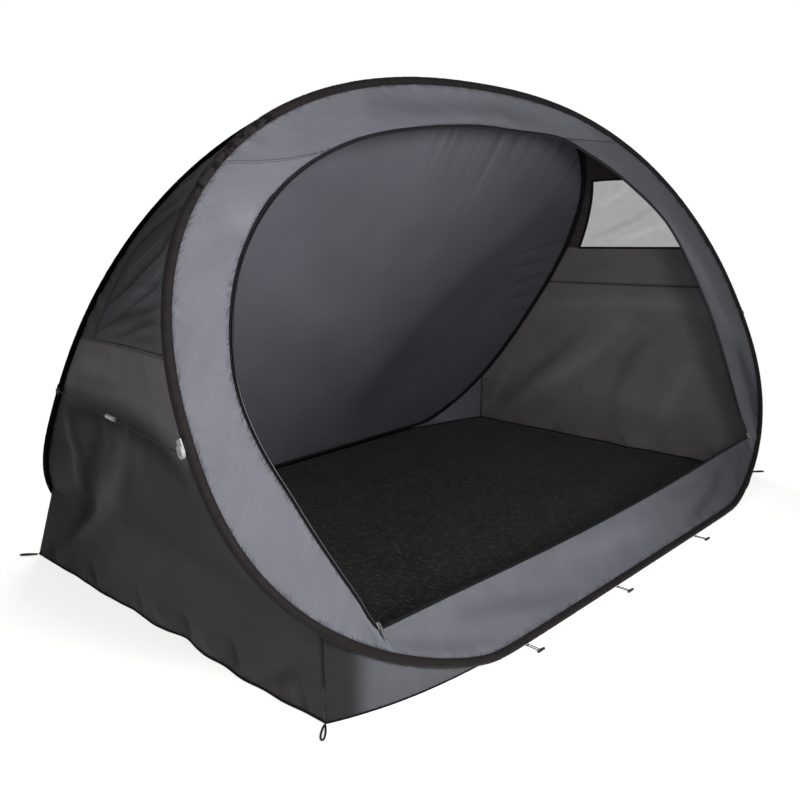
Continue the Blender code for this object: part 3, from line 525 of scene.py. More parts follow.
def clothMaterial(name, look):
    # woven polyester: threads as two crossed waves in the bump, soft cloudy shade, low sheen
    look = {**clothHabits, **look}
    made, tree, shader = newMaterial(name)
    place = addNode(tree, "UVMap", uv_map="cloth")
    threads = []
    for turn in (0.0, math.pi / 2):
        turned = addNode(tree, "Mapping", {"Vector": place, "Rotation": (0, 0, turn)})
        threads.append(addNode(tree, "TexWave", {
            "Vector": turned, "Scale": 0.314 / look["thread"], "Distortion": 0.6, "Detail": 1.0,
            "Detail Scale": 0.4}, bands_direction="X"))
    weave = addNode(tree, "Math", {0: threads[0], 1: threads[1]}, operation="MULTIPLY")
    cloud = addNode(tree, "TexNoise", {"Vector": place, "Scale": 1 / look["cloud"], "Detail": 3.0, "Roughness": 0.55})
    stretch = addNode(tree, "Mapping", {"Vector": place, "Scale": look["streakWay"]})
    streak = addNode(tree, "TexNoise", {"Vector": stretch, "Scale": 3.0, "Detail": 2.0})
    blend = addNode(tree, "Math", {0: streak, 1: look["streaks"], 2: cloud}, operation="MULTIPLY_ADD")
    tone = addNode(tree, "MapRange", {"Value": blend, "From Min": 0.35, "From Max": 1.0})
    colour = addNode(tree, "Mix", {
        "Factor": tone, "A": linearColour(look["shade"]), "B": linearColour(look["colour"])}, data_type="RGBA")
    # painted shade and light: the crease attribute darkens or lightens the colour
    paintedShade = addNode(tree, "Attribute", attribute_name="crease")
    tint = addNode(tree, "MapRange", {
        "Value": paintedShade, "From Min": -1.0, "From Max": 1.0,
        "To Min": 1 - look["valleyShade"], "To Max": 1 + look["ridgeShade"]})
    # gathers: painted shade, dark ticks across the nearest seam, each one of its own length, with a matching bump
    near = addNode(tree, "Attribute", attribute_name="seam")
    turned = addNode(tree, "Mapping", {
        "Vector": near.outputs["Vector"], "Rotation": (0, 0, look["slant"]),
        "Scale": (1 / look["gather"], 14.0, 1.0)})
    ticks = addNode(tree, "TexNoise", {"Vector": turned, "Scale": 1.0, "Detail": 1.0})
    lengths = addNode(tree, "TexNoise", {"Vector": near.outputs["Vector"], "Scale": 30.0, "Detail": 2.0})
    parts = addNode(tree, "SeparateXYZ", {"Vector": near.outputs["Vector"]})
    reach = addNode(tree, "MapRange", {
        "Value": lengths, "From Min": 0.32, "From Max": 0.66, "To Min": 0.005, "To Max": look["gatherReach"]})
    left = addNode(tree, "Math", {0: parts.outputs["Y"], 1: reach}, operation="DIVIDE")
    fade = addNode(tree, "MapRange", {"Value": left, "From Min": 0.2, "From Max": 1.0, "To Min": 1.0, "To Max": 0.0},
                   interpolation_type="SMOOTHSTEP")
    dark = addNode(tree, "MapRange", {"Value": ticks, "From Min": 0.47, "From Max": 0.62})
    gather = addNode(tree, "Math", {0: dark, 1: fade}, operation="MULTIPLY")
    shaded = addNode(tree, "Math", {0: gather, 1: -look["gatherShade"], 2: tint}, operation="MULTIPLY_ADD")
    final = addNode(tree, "HueSaturation", {"Color": colour, "Value": shaded})
    # painted glints: short light streaks mixed into the colour, standing for highlights on the crinkled sheet
    if "paintedGlints" in look:
        stretched = [addNode(tree, "Mapping", {
            "Vector": place, "Rotation": (0, 0, turn), "Scale": (210.0, 38.0, 1.0)}) for turn in (0.5, 2.2)]
        noises = [addNode(tree, "TexNoise", {"Vector": way, "Scale": 1.0, "Detail": 1.0}) for way in stretched]
        most = addNode(tree, "Math", {0: noises[0], 1: noises[1]}, operation="MAXIMUM")
        share = addNode(tree, "MapRange", {"Value": most, "From Min": 0.60, "From Max": 0.74})
        final = addNode(tree, "Mix", {
            "Factor": share, "A": final, "B": linearColour(look["paintedGlints"])}, data_type="RGBA")
    crinkle = addNode(tree, "TexNoise", {
        "Vector": place, "Scale": 1 / look["crinkleSize"], "Detail": 4.0, "Roughness": 0.6})
    rough = addNode(tree, "Bump", {"Height": crinkle, "Strength": look["crinkle"], "Distance": 0.004})
    gathered = addNode(tree, "Bump", {
        "Height": gather, "Strength": 0.6, "Distance": 0.003, "Normal": rough}, invert=True)
    bump = addNode(tree, "Bump", {
        "Height": weave, "Strength": look["weaveStrength"], "Distance": look["thread"] * 0.4, "Normal": gathered})
    fillInputs(tree, shader, {
        "Base Color": final, "Normal": bump, "Roughness": look["roughness"],
        "Specular IOR Level": look["gloss"], "Sheen Weight": look["sheen"], "Sheen Roughness": 0.4, "IOR": 1.5})
    return made


def plainMaterial(name, look):
    # moulded plastic, elastic or plated metal: one colour with fine wear in tone and roughness
    made, tree, shader = newMaterial(name)
    place = addNode(tree, "TexCoord")
    wear = addNode(tree, "TexNoise", {"Vector": place, "Scale": 1 / look["wear"], "Detail": 4.0})
    colour = addNode(tree, "Mix", {
        "Factor": wear, "A": linearColour(look["shade"]), "B": linearColour(look["colour"])}, data_type="RGBA")
    roughness = addNode(tree, "MapRange", {
        "Value": wear, "To Min": look["roughness"] - 0.06, "To Max": look["roughness"] + 0.08})
    bump = addNode(tree, "Bump", {"Height": wear, "Strength": look.get("bump", 0.1), "Distance": 0.0005})
    fillInputs(tree, shader, {
        "Base Color": colour, "Roughness": roughness, "Normal": bump, "Metallic": look.get("metallic", 0.0)})
    return made


def netMaterial(name, look):
    # fine knitted net: one colour over a see-through share, a little cloudy
    made, tree, shader = newMaterial(name)
    place = addNode(tree, "UVMap", uv_map="cloth")
    cloud = addNode(tree, "TexNoise", {"Vector": place, "Scale": 1 / look["cloud"], "Detail": 3.0})
    cover = addNode(tree, "MapRange", {
        "Value": cloud, "From Min": 0.3, "From Max": 0.7,
        "To Min": look["cover"] - 0.015, "To Max": look["cover"] + 0.015})
    # painted shade in the folds: the crease attribute darkens the net's colour in valleys and lightens it on ridges;
    # where folded it also makes the net denser
    paintedShade = addNode(tree, "Attribute", attribute_name="crease")
    folded = addNode(tree, "Math", {0: paintedShade, 1: -0.30, 2: cover}, operation="MULTIPLY_ADD", use_clamp=True)
    paintedLight = addNode(tree, "MapRange", {"Value": paintedShade, "From Min": -0.6, "From Max": 0.6, "To Min": 0.0, "To Max": 1.0})
    colour = addNode(tree, "Mix", {
        "Factor": paintedLight, "A": linearColour(look["shade"]), "B": linearColour(look["colour"])}, data_type="RGBA")
    fillInputs(tree, shader, {"Base Color": colour, "Alpha": folded, "Roughness": look["roughness"]})
    return made


cloths = {      # finish, then colour, shade, cloud size and what else differs
    "light": ("light grey coated polyester taffeta", "#75757D", "#686A72", 0.12, {
        "roughness": 0.55, "crinkle": 0.10, "valleyShade": 0.50, "ridgeShade": 0.25}),
    "dark": ("dark grey coated polyester taffeta", "#565355", "#4A474A", 0.15, {
        "valleyShade": 0.9, "ridgeShade": 0.95, "gloss": 0.05, "sheen": 0.0}),
    # painted shade: the gusset cloth is its own brown grey, made darker still for the shade under the sleeves
    "gusset": ("brown grey polyester taffeta", "#413B3B", "#332F2F", 0.10, {"valleyShade": 0.6, "ridgeShade": 0.35}),
    # painted light: a lighter copy of the dark wall cloth, whose crease tone paints it dark on the side and light
    # where it turns to the front
    "corner": ("dark grey taffeta where it turns to the light", "#5C5D62", "#515257", 0.15, {
        "roughness": 0.5, "valleyShade": 0.80, "ridgeShade": 0.35}),
    "panel": ("back panel polyester taffeta", "#7C7D86", "#70717A", 0.2, {"roughness": 0.5, "valleyShade": 0.60}),
    "frontSleeve": ("brown grey woven sleeve", "#2B2526", "#1E1A1A", 0.02, {
        "thread": 0.0015, "roughness": 0.75, "valleyShade": 0.85, "ridgeShade": 0.6}),
    "rearSleeve": ("black woven sleeve", "#2A272A", "#211E21", 0.02, {
        "thread": 0.0015, "roughness": 0.9, "gloss": 0.03, "sheen": 0.0, "valleyShade": 0.96, "ridgeShade": 0.0}),
    "floor": ("black woven polyethylene sheet", "#2A2A2A", "#212121", 0.1, {
        "thread": 0.0025, "crinkle": 0.20, "ridgeShade": 0.35, "paintedGlints": "#545454", "gloss": 0.1}),
    "binding": ("black grosgrain binding", "#121517", "#0B0D0F", 0.02, {"thread": 0.001, "roughness": 0.7}),
    "zipTape": ("blue grey zip tape", "#34383C", "#282B2E", 0.02, {"thread": 0.001, "roughness": 0.7}),
}
solids = {      # finish, then colour, shade, size of the wear, roughness and what else differs
    "thread": ("dark polyester thread", "#2A2A2E", "#1E1E22", 0.002, 0.7, {}),
    "trim": ("red brown folded seam edge", "#3C2A2C", "#2C1E20", 0.01, 0.8, {}),
    "zipCoil": ("black nylon coil", "#14171A", "#0C0E10", 0.004, 0.4, {}),
    "elastic": ("black braided elastic", "#1A1A1A", "#0F0F0F", 0.001, 0.75, {"bump": 0.6}),
    "nickel": ("nickel plated zinc", "#D8D6D0", "#BDBBB5", 0.004, 0.25, {"metallic": 1.0}),
    "greyPlastic": ("pale grey moulded acetal", "#A9ACA8", "#9C9F9B", 0.006, 0.45, {}),
    "darkPlastic": ("dark grey moulded acetal", "#34383A", "#2A2D2F", 0.004, 0.45, {}),
    "palePlastic": ("off-white moulded nylon", "#D2D2C8", "#C4C4BA", 0.004, 0.45, {}),
}
netLook = {"colour": "#2A2C2B", "shade": "#050506", "cover": 0.40, "cloud": 0.03, "roughness": 0.8}
materials = {"net": netMaterial("black knitted insect net", netLook)}
for name, (finish, colour, shade, cloud, more) in cloths.items():
    materials[name] = clothMaterial(finish, {"colour": colour, "shade": shade, "cloud": cloud, **more})
for name, (finish, colour, shade, wear, rough, more) in solids.items():
    materials[name] = plainMaterial(finish, {
        "colour": colour, "shade": shade, "wear": wear, "roughness": rough, **more})
print("materials made:", len(materials))


def gathers(along, away, look, seed):
    # gathers beside a seam: noise along it, slanted with the distance from it, fading away from it;
    # slow noise makes some places strong and leaves others nearly flat
    place = along / look["spacing"] + away * look["slant"]
    strength = 0.3 + 0.7 * smoothStep(softNoise(along / 0.11, 0 * along + 0.5, seed + 9), -0.5, 0.6)
    fine = softNoise(place, 0 * along + 0.5, seed)
    longer = softNoise(place / 2.6, away * 3.0, seed + 5)
    fading = np.exp(-away / look["reach"])
    return look["height"] * strength * (fine * fading + 0.8 * longer * fading ** 0.4)


def toneOf(push, most):
    # how deep a crease is, as a share of the depth painted fully dark: the painted shade of the crease
    return np.clip(push / most, -1, 1)


def gradedShare(count):
    # steps from 0 to 1 that are closest together at both ends: (1 - cos(pi t)) / 2
    return (1 - np.cos(np.pi * np.linspace(0, 1, count + 1))) / 2


def sheetPiece(name, shaped, base, outside, dress, nodes, tone=None, ends=()):
    # draws and dresses one sheet, and hides the CAD solids it stands for
    uv = clothUv(base)
    piece = gridMesh(name, shaped, uv, outside=outside, tone=tone, seam=seamMap(uv, ends) if ends else None)
    dressed(thickened(piece, tent["clothThickness"]), materials[dress[0]])
    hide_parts(*nodes)


border = {
    "columns": 30,          # across the border
    "step": 0.0031,         # along it
    "seamLeft": 22.0,       # ladder number of the left seam, and of the right one
    "seamRight": 25.0,
    "hoopEdge": {"spacing": 0.0075, "height": 0.0020, "reach": 0.014, "slant": 35.0},
    "zipEdge": {"spacing": 0.0070, "height": 0.0016, "reach": 0.012, "slant": -40.0},
    "wave": 0.0035, "darkest": 0.0032,
    "sag": 0.012,           # how far the left seam hangs below a straight line
    "ridge": 0.0009,        # how far the two seams stand up
    # painted light on the left and over the middle of the top
    "paintedLightLeft": 0.2, "paintedLightTop": 0.6,
    "creases": [            # in millimetres: width, height, and the x and z of each corner
        (3.5, 1.4, -680, 1157, -672, 1128), (3, -1.4, -668, 1160, -658, 1132),
        (3.5, 1.6, -655, 1163, -646, 1138), (3, -1.6, -642, 1164, -634, 1145), (3, 1.4, -629, 1165, -622, 1148),
        (4, -1, -700, 1150, -688, 1125), (4, 1, -720, 1143, -712, 1120), (3, -1.2, -985, 200, -965, 150),
        (3, 1.2, -972, 196, -955, 152), (3, -1.2, -955, 190, -948, 140),
        (50, 4, -960, 1020, -800, 900, -830, 640), (30, -3, -450, 1270, 100, 1290, 500, 1220),
        (35, 4, 930, 980, 1080, 780, 1130, 520), (30, -5, 1150, 450, 1120, 300, 1040, 190),
    ],
}


def borderGrid(low, high):
    # ladder numbers low..high on one half (negative on the left half), hoop to zip; both seams lean a little
    count = int(abs(high - low) / ladderTop * borderHalf / border["step"]) + 2
    ladder = np.linspace(low, high, count)
    nearLeft = np.exp(-((ladder + ladderTop - border["seamLeft"]) / 3) ** 2)
    nearRight = np.exp(-((ladder - ladderTop + border["seamRight"]) / 3) ** 2)
    rimLevel = ladderTop - np.abs(ladder - 1.75 * nearLeft + 0.4 * nearRight)
    edgeLevel = ladderTop - np.abs(ladder - 0.55 * nearLeft - 0.1 * nearRight)
    away = doorway["zipWidth"] - doorway["overlap"] + doorShift(edgeLevel, ladder)
    edge = onFrontLean(archAt(edgeLevel, away))
    rim = frontRim(rimLevel, edge)
    share = np.broadcast_to(gradedShare(border["columns"]), (count, border["columns"] + 1))
    grid = frontFace(rim, edge, share)
    lowered = grid[..., 2] - border["sag"] * nearLeft[:, None] * 4 * share * (1 - share)
    grid[..., 1] += leanAt(frontHoop, lowered) - leanAt(frontHoop, grid[..., 2])
    grid[..., 2] = lowered
    grid[..., 0] *= np.where(ladder < 0, -1, 1)[:, None]
    return grid, ladder


seamAt = (border["seamLeft"] - ladderTop, ladderTop - border["seamRight"])
borderRims, borderStitches = {}, []
for name, low, high, seed in (
    ("left", -ladderTop, seamAt[0], 11), ("top", *seamAt, 12), ("right", seamAt[1], ladderTop, 13),
):
    base, ladder = borderGrid(low, high)
    uv = clothUv(base)
    share = gradedShare(border["columns"])[None, :]
    along = lengthsAlong(base[:, 0])[:, None] + 0 * share
    towardZip = uv[:, -1:, 1] - uv[..., 1]
    small = gathers(along, uv[..., 1], border["hoopEdge"], seed)
    small = small + gathers(along, towardZip, border["zipEdge"], seed + 1)
    spot = settled(base)
    small = small + creaseField(spot[..., 0], spot[..., 2], border["creases"])
    small = small * smoothStep(uv[..., 1], -0.002, 0.002) * smoothStep(towardZip, 0, 0.006)
    fromSeam = np.minimum(*(np.abs(ladder - end) / ladderTop * borderHalf for end in seamAt))
    push = small + border["ridge"] * np.exp(-(fromSeam[:, None] / 0.005) ** 2)
    slow = layeredNoise(base[..., 0] / 0.16, base[..., 2] / 0.22, seed + 2)
    push = push + border["wave"] * slow * np.sin(np.pi * share)
    shaped = pushed(base, push, (0, -5, 1))
    # painted light: lighter on the left and over the middle of the top
    overTop = smoothStep(base[..., 0], -0.5, 0.0) * (1 - smoothStep(base[..., 0], 0.45, 0.8))
    paintedLight = {"left": border["paintedLightLeft"], "top": border["paintedLightTop"] * overTop, "right": 0}[name]
    sheetPiece(f"border_{name}", shaped, base, (0, -5, 1), ("light", "light_cloth"),
               [f"front_border_{name}"], toneOf(small, border["darkest"]) + paintedLight, ("start", "end"))
    borderRims[name] = shaped[:, 0]
    normals = gridNormals(shaped)
    normals = normals * np.sign((normals * np.array([0, -1.0, 0.2])).sum())
    for row in {"left": (-3,), "top": (1, -2), "right": (1,)}[name]:
        borderStitches.append((shaped[row], normals[row]))
print("border made")

seamStitch = {"pitch": 0.0050, "length": 0.0032, "width": 0.0012, "height": 0.0005, "lift": 0.0006}
stitchedPiece("border_stitches", [stitchRow(path, ways, seamStitch) for path, ways in borderStitches],
              materials["thread"])


zipper = {
    # how far outwards from the arch's inner edge, how far lifted to the front, and how thick
    "tapeAt": np.linspace(0.0006, 0.0112, 7), "tapeLift": -0.0018,
    "edgeAt": 0.0090, "edgeLift": 0.0010, "edgeRadius": 0.0015,
    "coilAt": 0.0030, "coilLift": 0.0012, "coilRadius": 0.0024, "coilSteps": 2600,
    "step": 0.006, "teeth": 0.0030,             # teeth drawn 3 mm apart, coarser than real, so that they show
}


def archSide(side, distance, lift):
    # points up one half of the arch on the dished front, this far outwards from its inner edge
    level = np.linspace(0, ladderTop, int(2.3 / zipper["step"]))
    shift = doorShift(level, side)
    edge = onFrontLean(archAt(level, doorway["zipWidth"] + tent["seamGap"] + shift))
    spots = archAt(level, distance + shift)
    spots[:, 1] = leanAt(frontHoop, spots[:, 2]) + dishDepth(frontRim(level, edge), edge) - lift
    return mirrored(spots, side)


def archPath(distance, lift):
    # left foot, over the top, right foot
    return np.vstack([archSide(-1.0, distance, lift), archSide(1.0, distance, lift)[::-1][1:]])


tape = np.stack([archPath(away, zipper["tapeLift"]) for away in zipper["tapeAt"]], axis=1)
sheetPiece("zip_tape", tape, tape, (0, -5, 1), ("zipTape", "zip_tape"),
           ["door_zip_left", "door_zip_top", "door_zip_right"])
path = archPath(zipper["edgeAt"], zipper["edgeLift"])
dressed(tubeMesh("zip_edge", path, zipper["edgeRadius"], sides=8), materials["binding"])
path = archPath(zipper["coilAt"], zipper["coilLift"])
fineLengths = np.linspace(0, lengthsAlong(path)[-1], zipper["coilSteps"])
path = sampled(path, fineLengths)
turn = np.arange(8)[None, :] / 8 * 2 * np.pi
coil = zipper["coilRadius"] * (1 + 0.16 * np.sin(fineLengths[:, None] / zipper["teeth"] * 2 * np.pi + turn))
dressed(tubeMesh("zip_coil", path, coil, sides=8), materials["zipCoil"])
print("zip made")


sill = {
    "columns": 32, "step": 0.0036, "binding": 0.012,
    "hoopEdge": {"spacing": 0.010, "height": 0.0010, "reach": 0.012, "slant": 40.0},
    "topEdge": {"spacing": 0.012, "height": 0.0009, "reach": 0.012, "slant": -50.0},
    "wave": 0.003, "darkest": 0.003, "shadeRight": 0.85,
    "creases": [            # in millimetres: width, height, and the x and z of each corner
        (14, -6.5, -923, 137, -859, 110, -793, 83, -722, 58, -640, 45), (13, 4, -806, 66, -730, 42, -640, 26),
        (20, -6, -720, 125, -578, 98, -396, 54, -300, 40), (30, 6, -300, 125, 0, 100, 200, 80),
        (20, -9, 300, 30, 420, 47, 592, 86, 668, 122), (20, -4, 300, 130, 520, 120),
        (18, -7, 740, 70, 800, 110, 860, 160), (2.8, -1.3, -927, 172, -881, 171, -834, 167),
        (2.8, 1.2, -926, 166, -875, 164, -830, 159), (2.8, -1.3, -924, 158, -865, 156, -812, 150),
        (3, 1.2, -922, 151, -880, 147, -845, 140),
    ],
}
doorFoot = archAt(np.array([0.0]), np.array([doorway["zipWidth"]]))[0, 0]


def sillTop(x):
    # the sill's top edge: its end height less a dip that is deepest in the middle, as a parabola
    return doorway["sillEnd"] - tent["seamGap"] - doorway["sillDip"] * (1 - (x / doorFoot) ** 2)


def sillGrid():
    # rows along the tent from left to right, columns from the top edge down to the hoop
    arcs = np.linspace(-frontArcs["sill"], frontArcs["sill"], int(1.9 / sill["step"]))
    spots, ways = hoopAt(frontHalf, np.abs(arcs))
    flips = np.stack([np.where(arcs < 0, -1.0, 1.0), 1 + 0 * arcs, 1 + 0 * arcs], axis=-1)
    spots, ways = spots * flips, ways * flips
    x = spots[:, 0] / spots[-1, 0] * doorFoot
    edge = onFrontLean(np.stack([x, x, sillTop(x)], axis=-1))
    rim = seatOn(spots, ways, edge, tent["sleeveRadius"] - tent["tuck"])
    share = np.broadcast_to(gradedShare(sill["columns"])[::-1], (len(arcs), sill["columns"] + 1))
    return frontFace(rim, edge, share)


sillBase = sillGrid()
sillUv = clothUv(sillBase)
sillDrop = sillUv[:, -1:, 1]
small = gathers(sillUv[..., 0], sillDrop - sillUv[..., 1], sill["hoopEdge"], 21)
small = small + gathers(sillUv[..., 0], sillUv[..., 1], sill["topEdge"], 23)
middle = np.sin(np.pi * np.clip(sillUv[..., 1] / sillDrop, 0, 1)) ** 0.5
spot = settled(sillBase)
folds = creaseField(spot[..., 0], spot[..., 2], sill["creases"]) * np.maximum(middle, 0.15)
slow = layeredNoise(sillBase[..., 0] / 0.30, sillBase[..., 2] / 0.10, 22)
push = small + folds + sill["wave"] * slow * middle
sillShaped = pushed(sillBase, push, (0, -5, 1))
# painted shade: the sill is darker towards its right end, where it turns away from the light
turned = sill["shadeRight"] * smoothStep(spot[..., 0], 0.25, 0.80)
tone = np.clip(toneOf(small + folds * 0.25, sill["darkest"]) - turned, -1, 1)
sheetPiece("sill_cloth", sillShaped, sillBase, (0, -5, 1), ("light", "light_cloth"), ["front_sill"],
           tone, ("start", "end"))
# the binding is folded over the edge: down the outside, over the top, down the inside
topEdge = sillShaped[:, 0]
downward = unit(sillShaped[:, 4] - topEdge)
turn = np.linspace(-1, 1, 11)
drop = 0.0010 - np.abs(turn) ** 1.5 * sill["binding"] * 0.62
fold = np.stack([np.sin(turn * np.pi / 2) * 0.0012, drop], axis=-1)
strip = topEdge[:, None] + fold[None, :, :1] * np.array([0.0, 1.0, 0.0]) - fold[None, :, 1:] * downward[:, None]
sheetPiece("sill_edge", strip, strip, (0, -5, 1), ("binding", "binding"), ["sill_binding"])
print("sill made")


# the back panel: rings of points from the hoop to a middle point, on the leaning surface
backPanel = {
    "around": 500, "rings": 62, "middleZ": 0.600,
    "hoopEdge": {"spacing": 0.020, "height": 0.0022, "reach": 0.045, "slant": 14.0},
    "wave": 0.006,
    "pleat": {"spacing": 0.020, "height": 0.0065, "reach": 0.11, "fine": 0.011, "fineReach": 0.05},
    "creases": [            # in millimetres: width, height, and the x and z of each corner
        (10, -5, 985, 845, 845, 822, 734, 794), (9, -5, 1010, 775, 878, 760, 750, 745),
        (10, -5.5, 1030, 705, 910, 690, 810, 664), (9, -4.5, 1045, 630, 942, 616, 855, 590),
        (10, -4, 1050, 550, 950, 540, 880, 520), (10, -5, -985, 835, -850, 815, -760, 800),
        (10, -5.5, -1020, 735, -900, 720, -790, 690), (9, -4.5, -1040, 640, -940, 620, -850, 590),
        (100, 6, -700, 950, -300, 700, 100, 550), (100, -6, 850, 950, 500, 600, 300, 250),
    ],
}


def pleats(x, z, look, seed):
    # pleats hanging from the ridge: two noises across x, each fading with the depth below the ridge;
    # slow noise in x gives each pleat its own length
    below = np.maximum(1.31 - z, 0)
    length = look["reach"] * (0.5 + 1.1 * smoothStep(softNoise(x / 0.09, 0 * x + 0.5, seed), -0.6, 0.8))
    length = length * (0.45 + 0.75 * smoothStep(x, -0.35, 0.35))
    wide = softNoise(x / look["spacing"] + 0.5 * below, below * 1.5, seed + 1)
    wide = wide * np.exp(-(below / length) ** 1.5 / 1.5)
    fine = softNoise(x / look["fine"], below * 4, seed + 2) * np.exp(-below / look["fineReach"])
    return look["height"] * (wide + 0.35 * fine) * smoothStep(z, 0.75, 0.95)


def backGrid():
    # the rim follows the hoop, with more points where it is high; each ring is a share of the way to the middle
    half = backPanel["around"] // 2
    tries = np.linspace(0, rearArcs["top"], 2000)
    weight = 1 + 1.4 * smoothStep(hoopAt(rearHalf, tries)[0][:, 2], 0.5, 1.1)
    arcs = np.interp(np.linspace(0, 1, half + 1), np.cumsum(weight) / weight.sum(), tries)
    arcs[0], arcs[-1] = 0, rearArcs["top"]
    spots, ways = hoopAt(rearHalf, arcs)
    middle = np.array([0.0, float(leanAt(rearHoop, backPanel["middleZ"])), backPanel["middleZ"]])
    rim = seatOn(spots, ways, middle, tent["sleeveRadius"] - tent["tuck"])
    rim = np.vstack([rim, mirrored(rim, -1)[1:-1][::-1]])
    share = np.linspace(0, 1, backPanel["rings"]) ** 1.25 * 0.99
    true = rim[:, 1] - leanAt(rearHoop, rim[:, 2])
    grid = rim[None] * (1 - share[:, None, None]) + middle * share[:, None, None]
    grid[..., 1] = leanAt(rearHoop, grid[..., 2]) + true[None] * (1 - share[:, None]) ** 2
    grid[..., 2] = np.maximum(grid[..., 2], 0.004)
    return grid


backBase = backGrid()
ringSteps = np.linalg.norm(np.roll(backBase[0], -1, axis=0) - backBase[0], axis=1)
rimLength = np.concatenate([[0], np.cumsum(ringSteps)])[:-1]
ringGaps = np.linalg.norm(np.diff(backBase, axis=0), axis=-1)
fromRim = np.concatenate([np.zeros((1, backBase.shape[1])), np.cumsum(ringGaps, axis=0)])
small = gathers(rimLength[None] + 0 * fromRim, fromRim, backPanel["hoopEdge"], 31)
spot = settled(backBase)
folds = creaseField(spot[..., 0], spot[..., 2], backPanel["creases"])
folds = (folds + pleats(spot[..., 0], spot[..., 2], backPanel["pleat"], 33)) * smoothStep(fromRim, 0, 0.02)
slow = layeredNoise(backBase[..., 0] / 0.35, backBase[..., 2] / 0.30, 32)
push = small + folds + backPanel["wave"] * slow * smoothStep(fromRim, 0, 0.2)
push = push * smoothStep(backBase[..., 2], 0.0, 0.06)
# the folds are seen from inside, so a valley there is pushed towards the back
closedGrid = np.concatenate([backBase[:, -1:], backBase, backBase[:, :1]], axis=1)
normals = gridNormals(closedGrid)[:, 1:-1]
normals = normals * np.sign((normals * np.array([0, -1.0, -0.5])).sum())
backShaped = backBase + normals * push[..., None]
leanZ = np.linspace(0, 1.36, 200)
leanLine = np.stack([0 * leanZ, leanAt(rearHoop, leanZ), leanZ], axis=-1)
backUv = np.stack([backBase[..., 0] + 1.2, np.interp(backBase[..., 2], leanZ, lengthsAlong(leanLine))], axis=-1)


def ringMesh(name, points, uv, outward, tone, seam):
    # quads between rings, joined round, and a last ring closed by a fan to its middle
    points = settled(points)
    rings, around = points.shape[:2]
    index = np.arange(rings * around).reshape(rings, around)
    nextOne = np.roll(index, -1, axis=1)
    quads = np.stack([index[:-1], index[1:], nextOne[1:], nextOne[:-1]], axis=-1).reshape(-1, 4)
    flat = np.vstack([points.reshape(-1, 3), points[-1].mean(axis=0)])
    fans = np.stack([index[-1], np.full(around, len(flat) - 1), nextOne[-1]], axis=-1)
    a, b, c = (flat[quads[:, k]] for k in (0, 1, 3))
    if (np.cross(b - a, c - a) * np.array(outward)).sum() < 0:
        quads, fans = quads[:, ::-1], fans[:, ::-1]
    mesh = bpy.data.meshes.new(name)
    mesh.from_pydata(flat, [], quads.tolist() + fans.tolist())
    layer = mesh.uv_layers.new(name="cloth")
    corners = np.empty(len(mesh.loops), int)
    mesh.loops.foreach_get("vertex_index", corners)
    spread = np.vstack([uv.reshape(-1, 2), uv[-1].mean(axis=0)])[corners]
    layer.data.foreach_set("uv", spread.astype(np.float32).ravel())
    seams = np.vstack([seam.reshape(-1, 2), seam[-1].mean(axis=0)])
    keepOnPoints(mesh, np.append(tone.ravel(), tone[-1].mean()), seams)
    mesh.shade_smooth()
    mesh.update()
    return placed(name, mesh)


seam = np.stack([rimLength[None] + 0 * fromRim, fromRim], axis=-1)
# painted shade: the panel darker towards its right, its pleats and folds darker in their valleys and a little lighter
# on their ridges
shadeRight = -0.75 * smoothStep(spot[..., 0] - 0.35 * (spot[..., 2] - 0.6), -0.30, 0.70)
foldTone = toneOf(small * 0.5 + folds, 0.006)
tone = np.clip(np.where(foldTone > 0, 0.35, 1.0) * foldTone + shadeRight, -1, 1)
piece = ringMesh("back_cloth", backShaped, backUv, (0, 1, 0.5), tone, seam)
dressed(thickened(piece, tent["clothThickness"]), materials["panel"])
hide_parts("rear_panel")
print("back panel made")


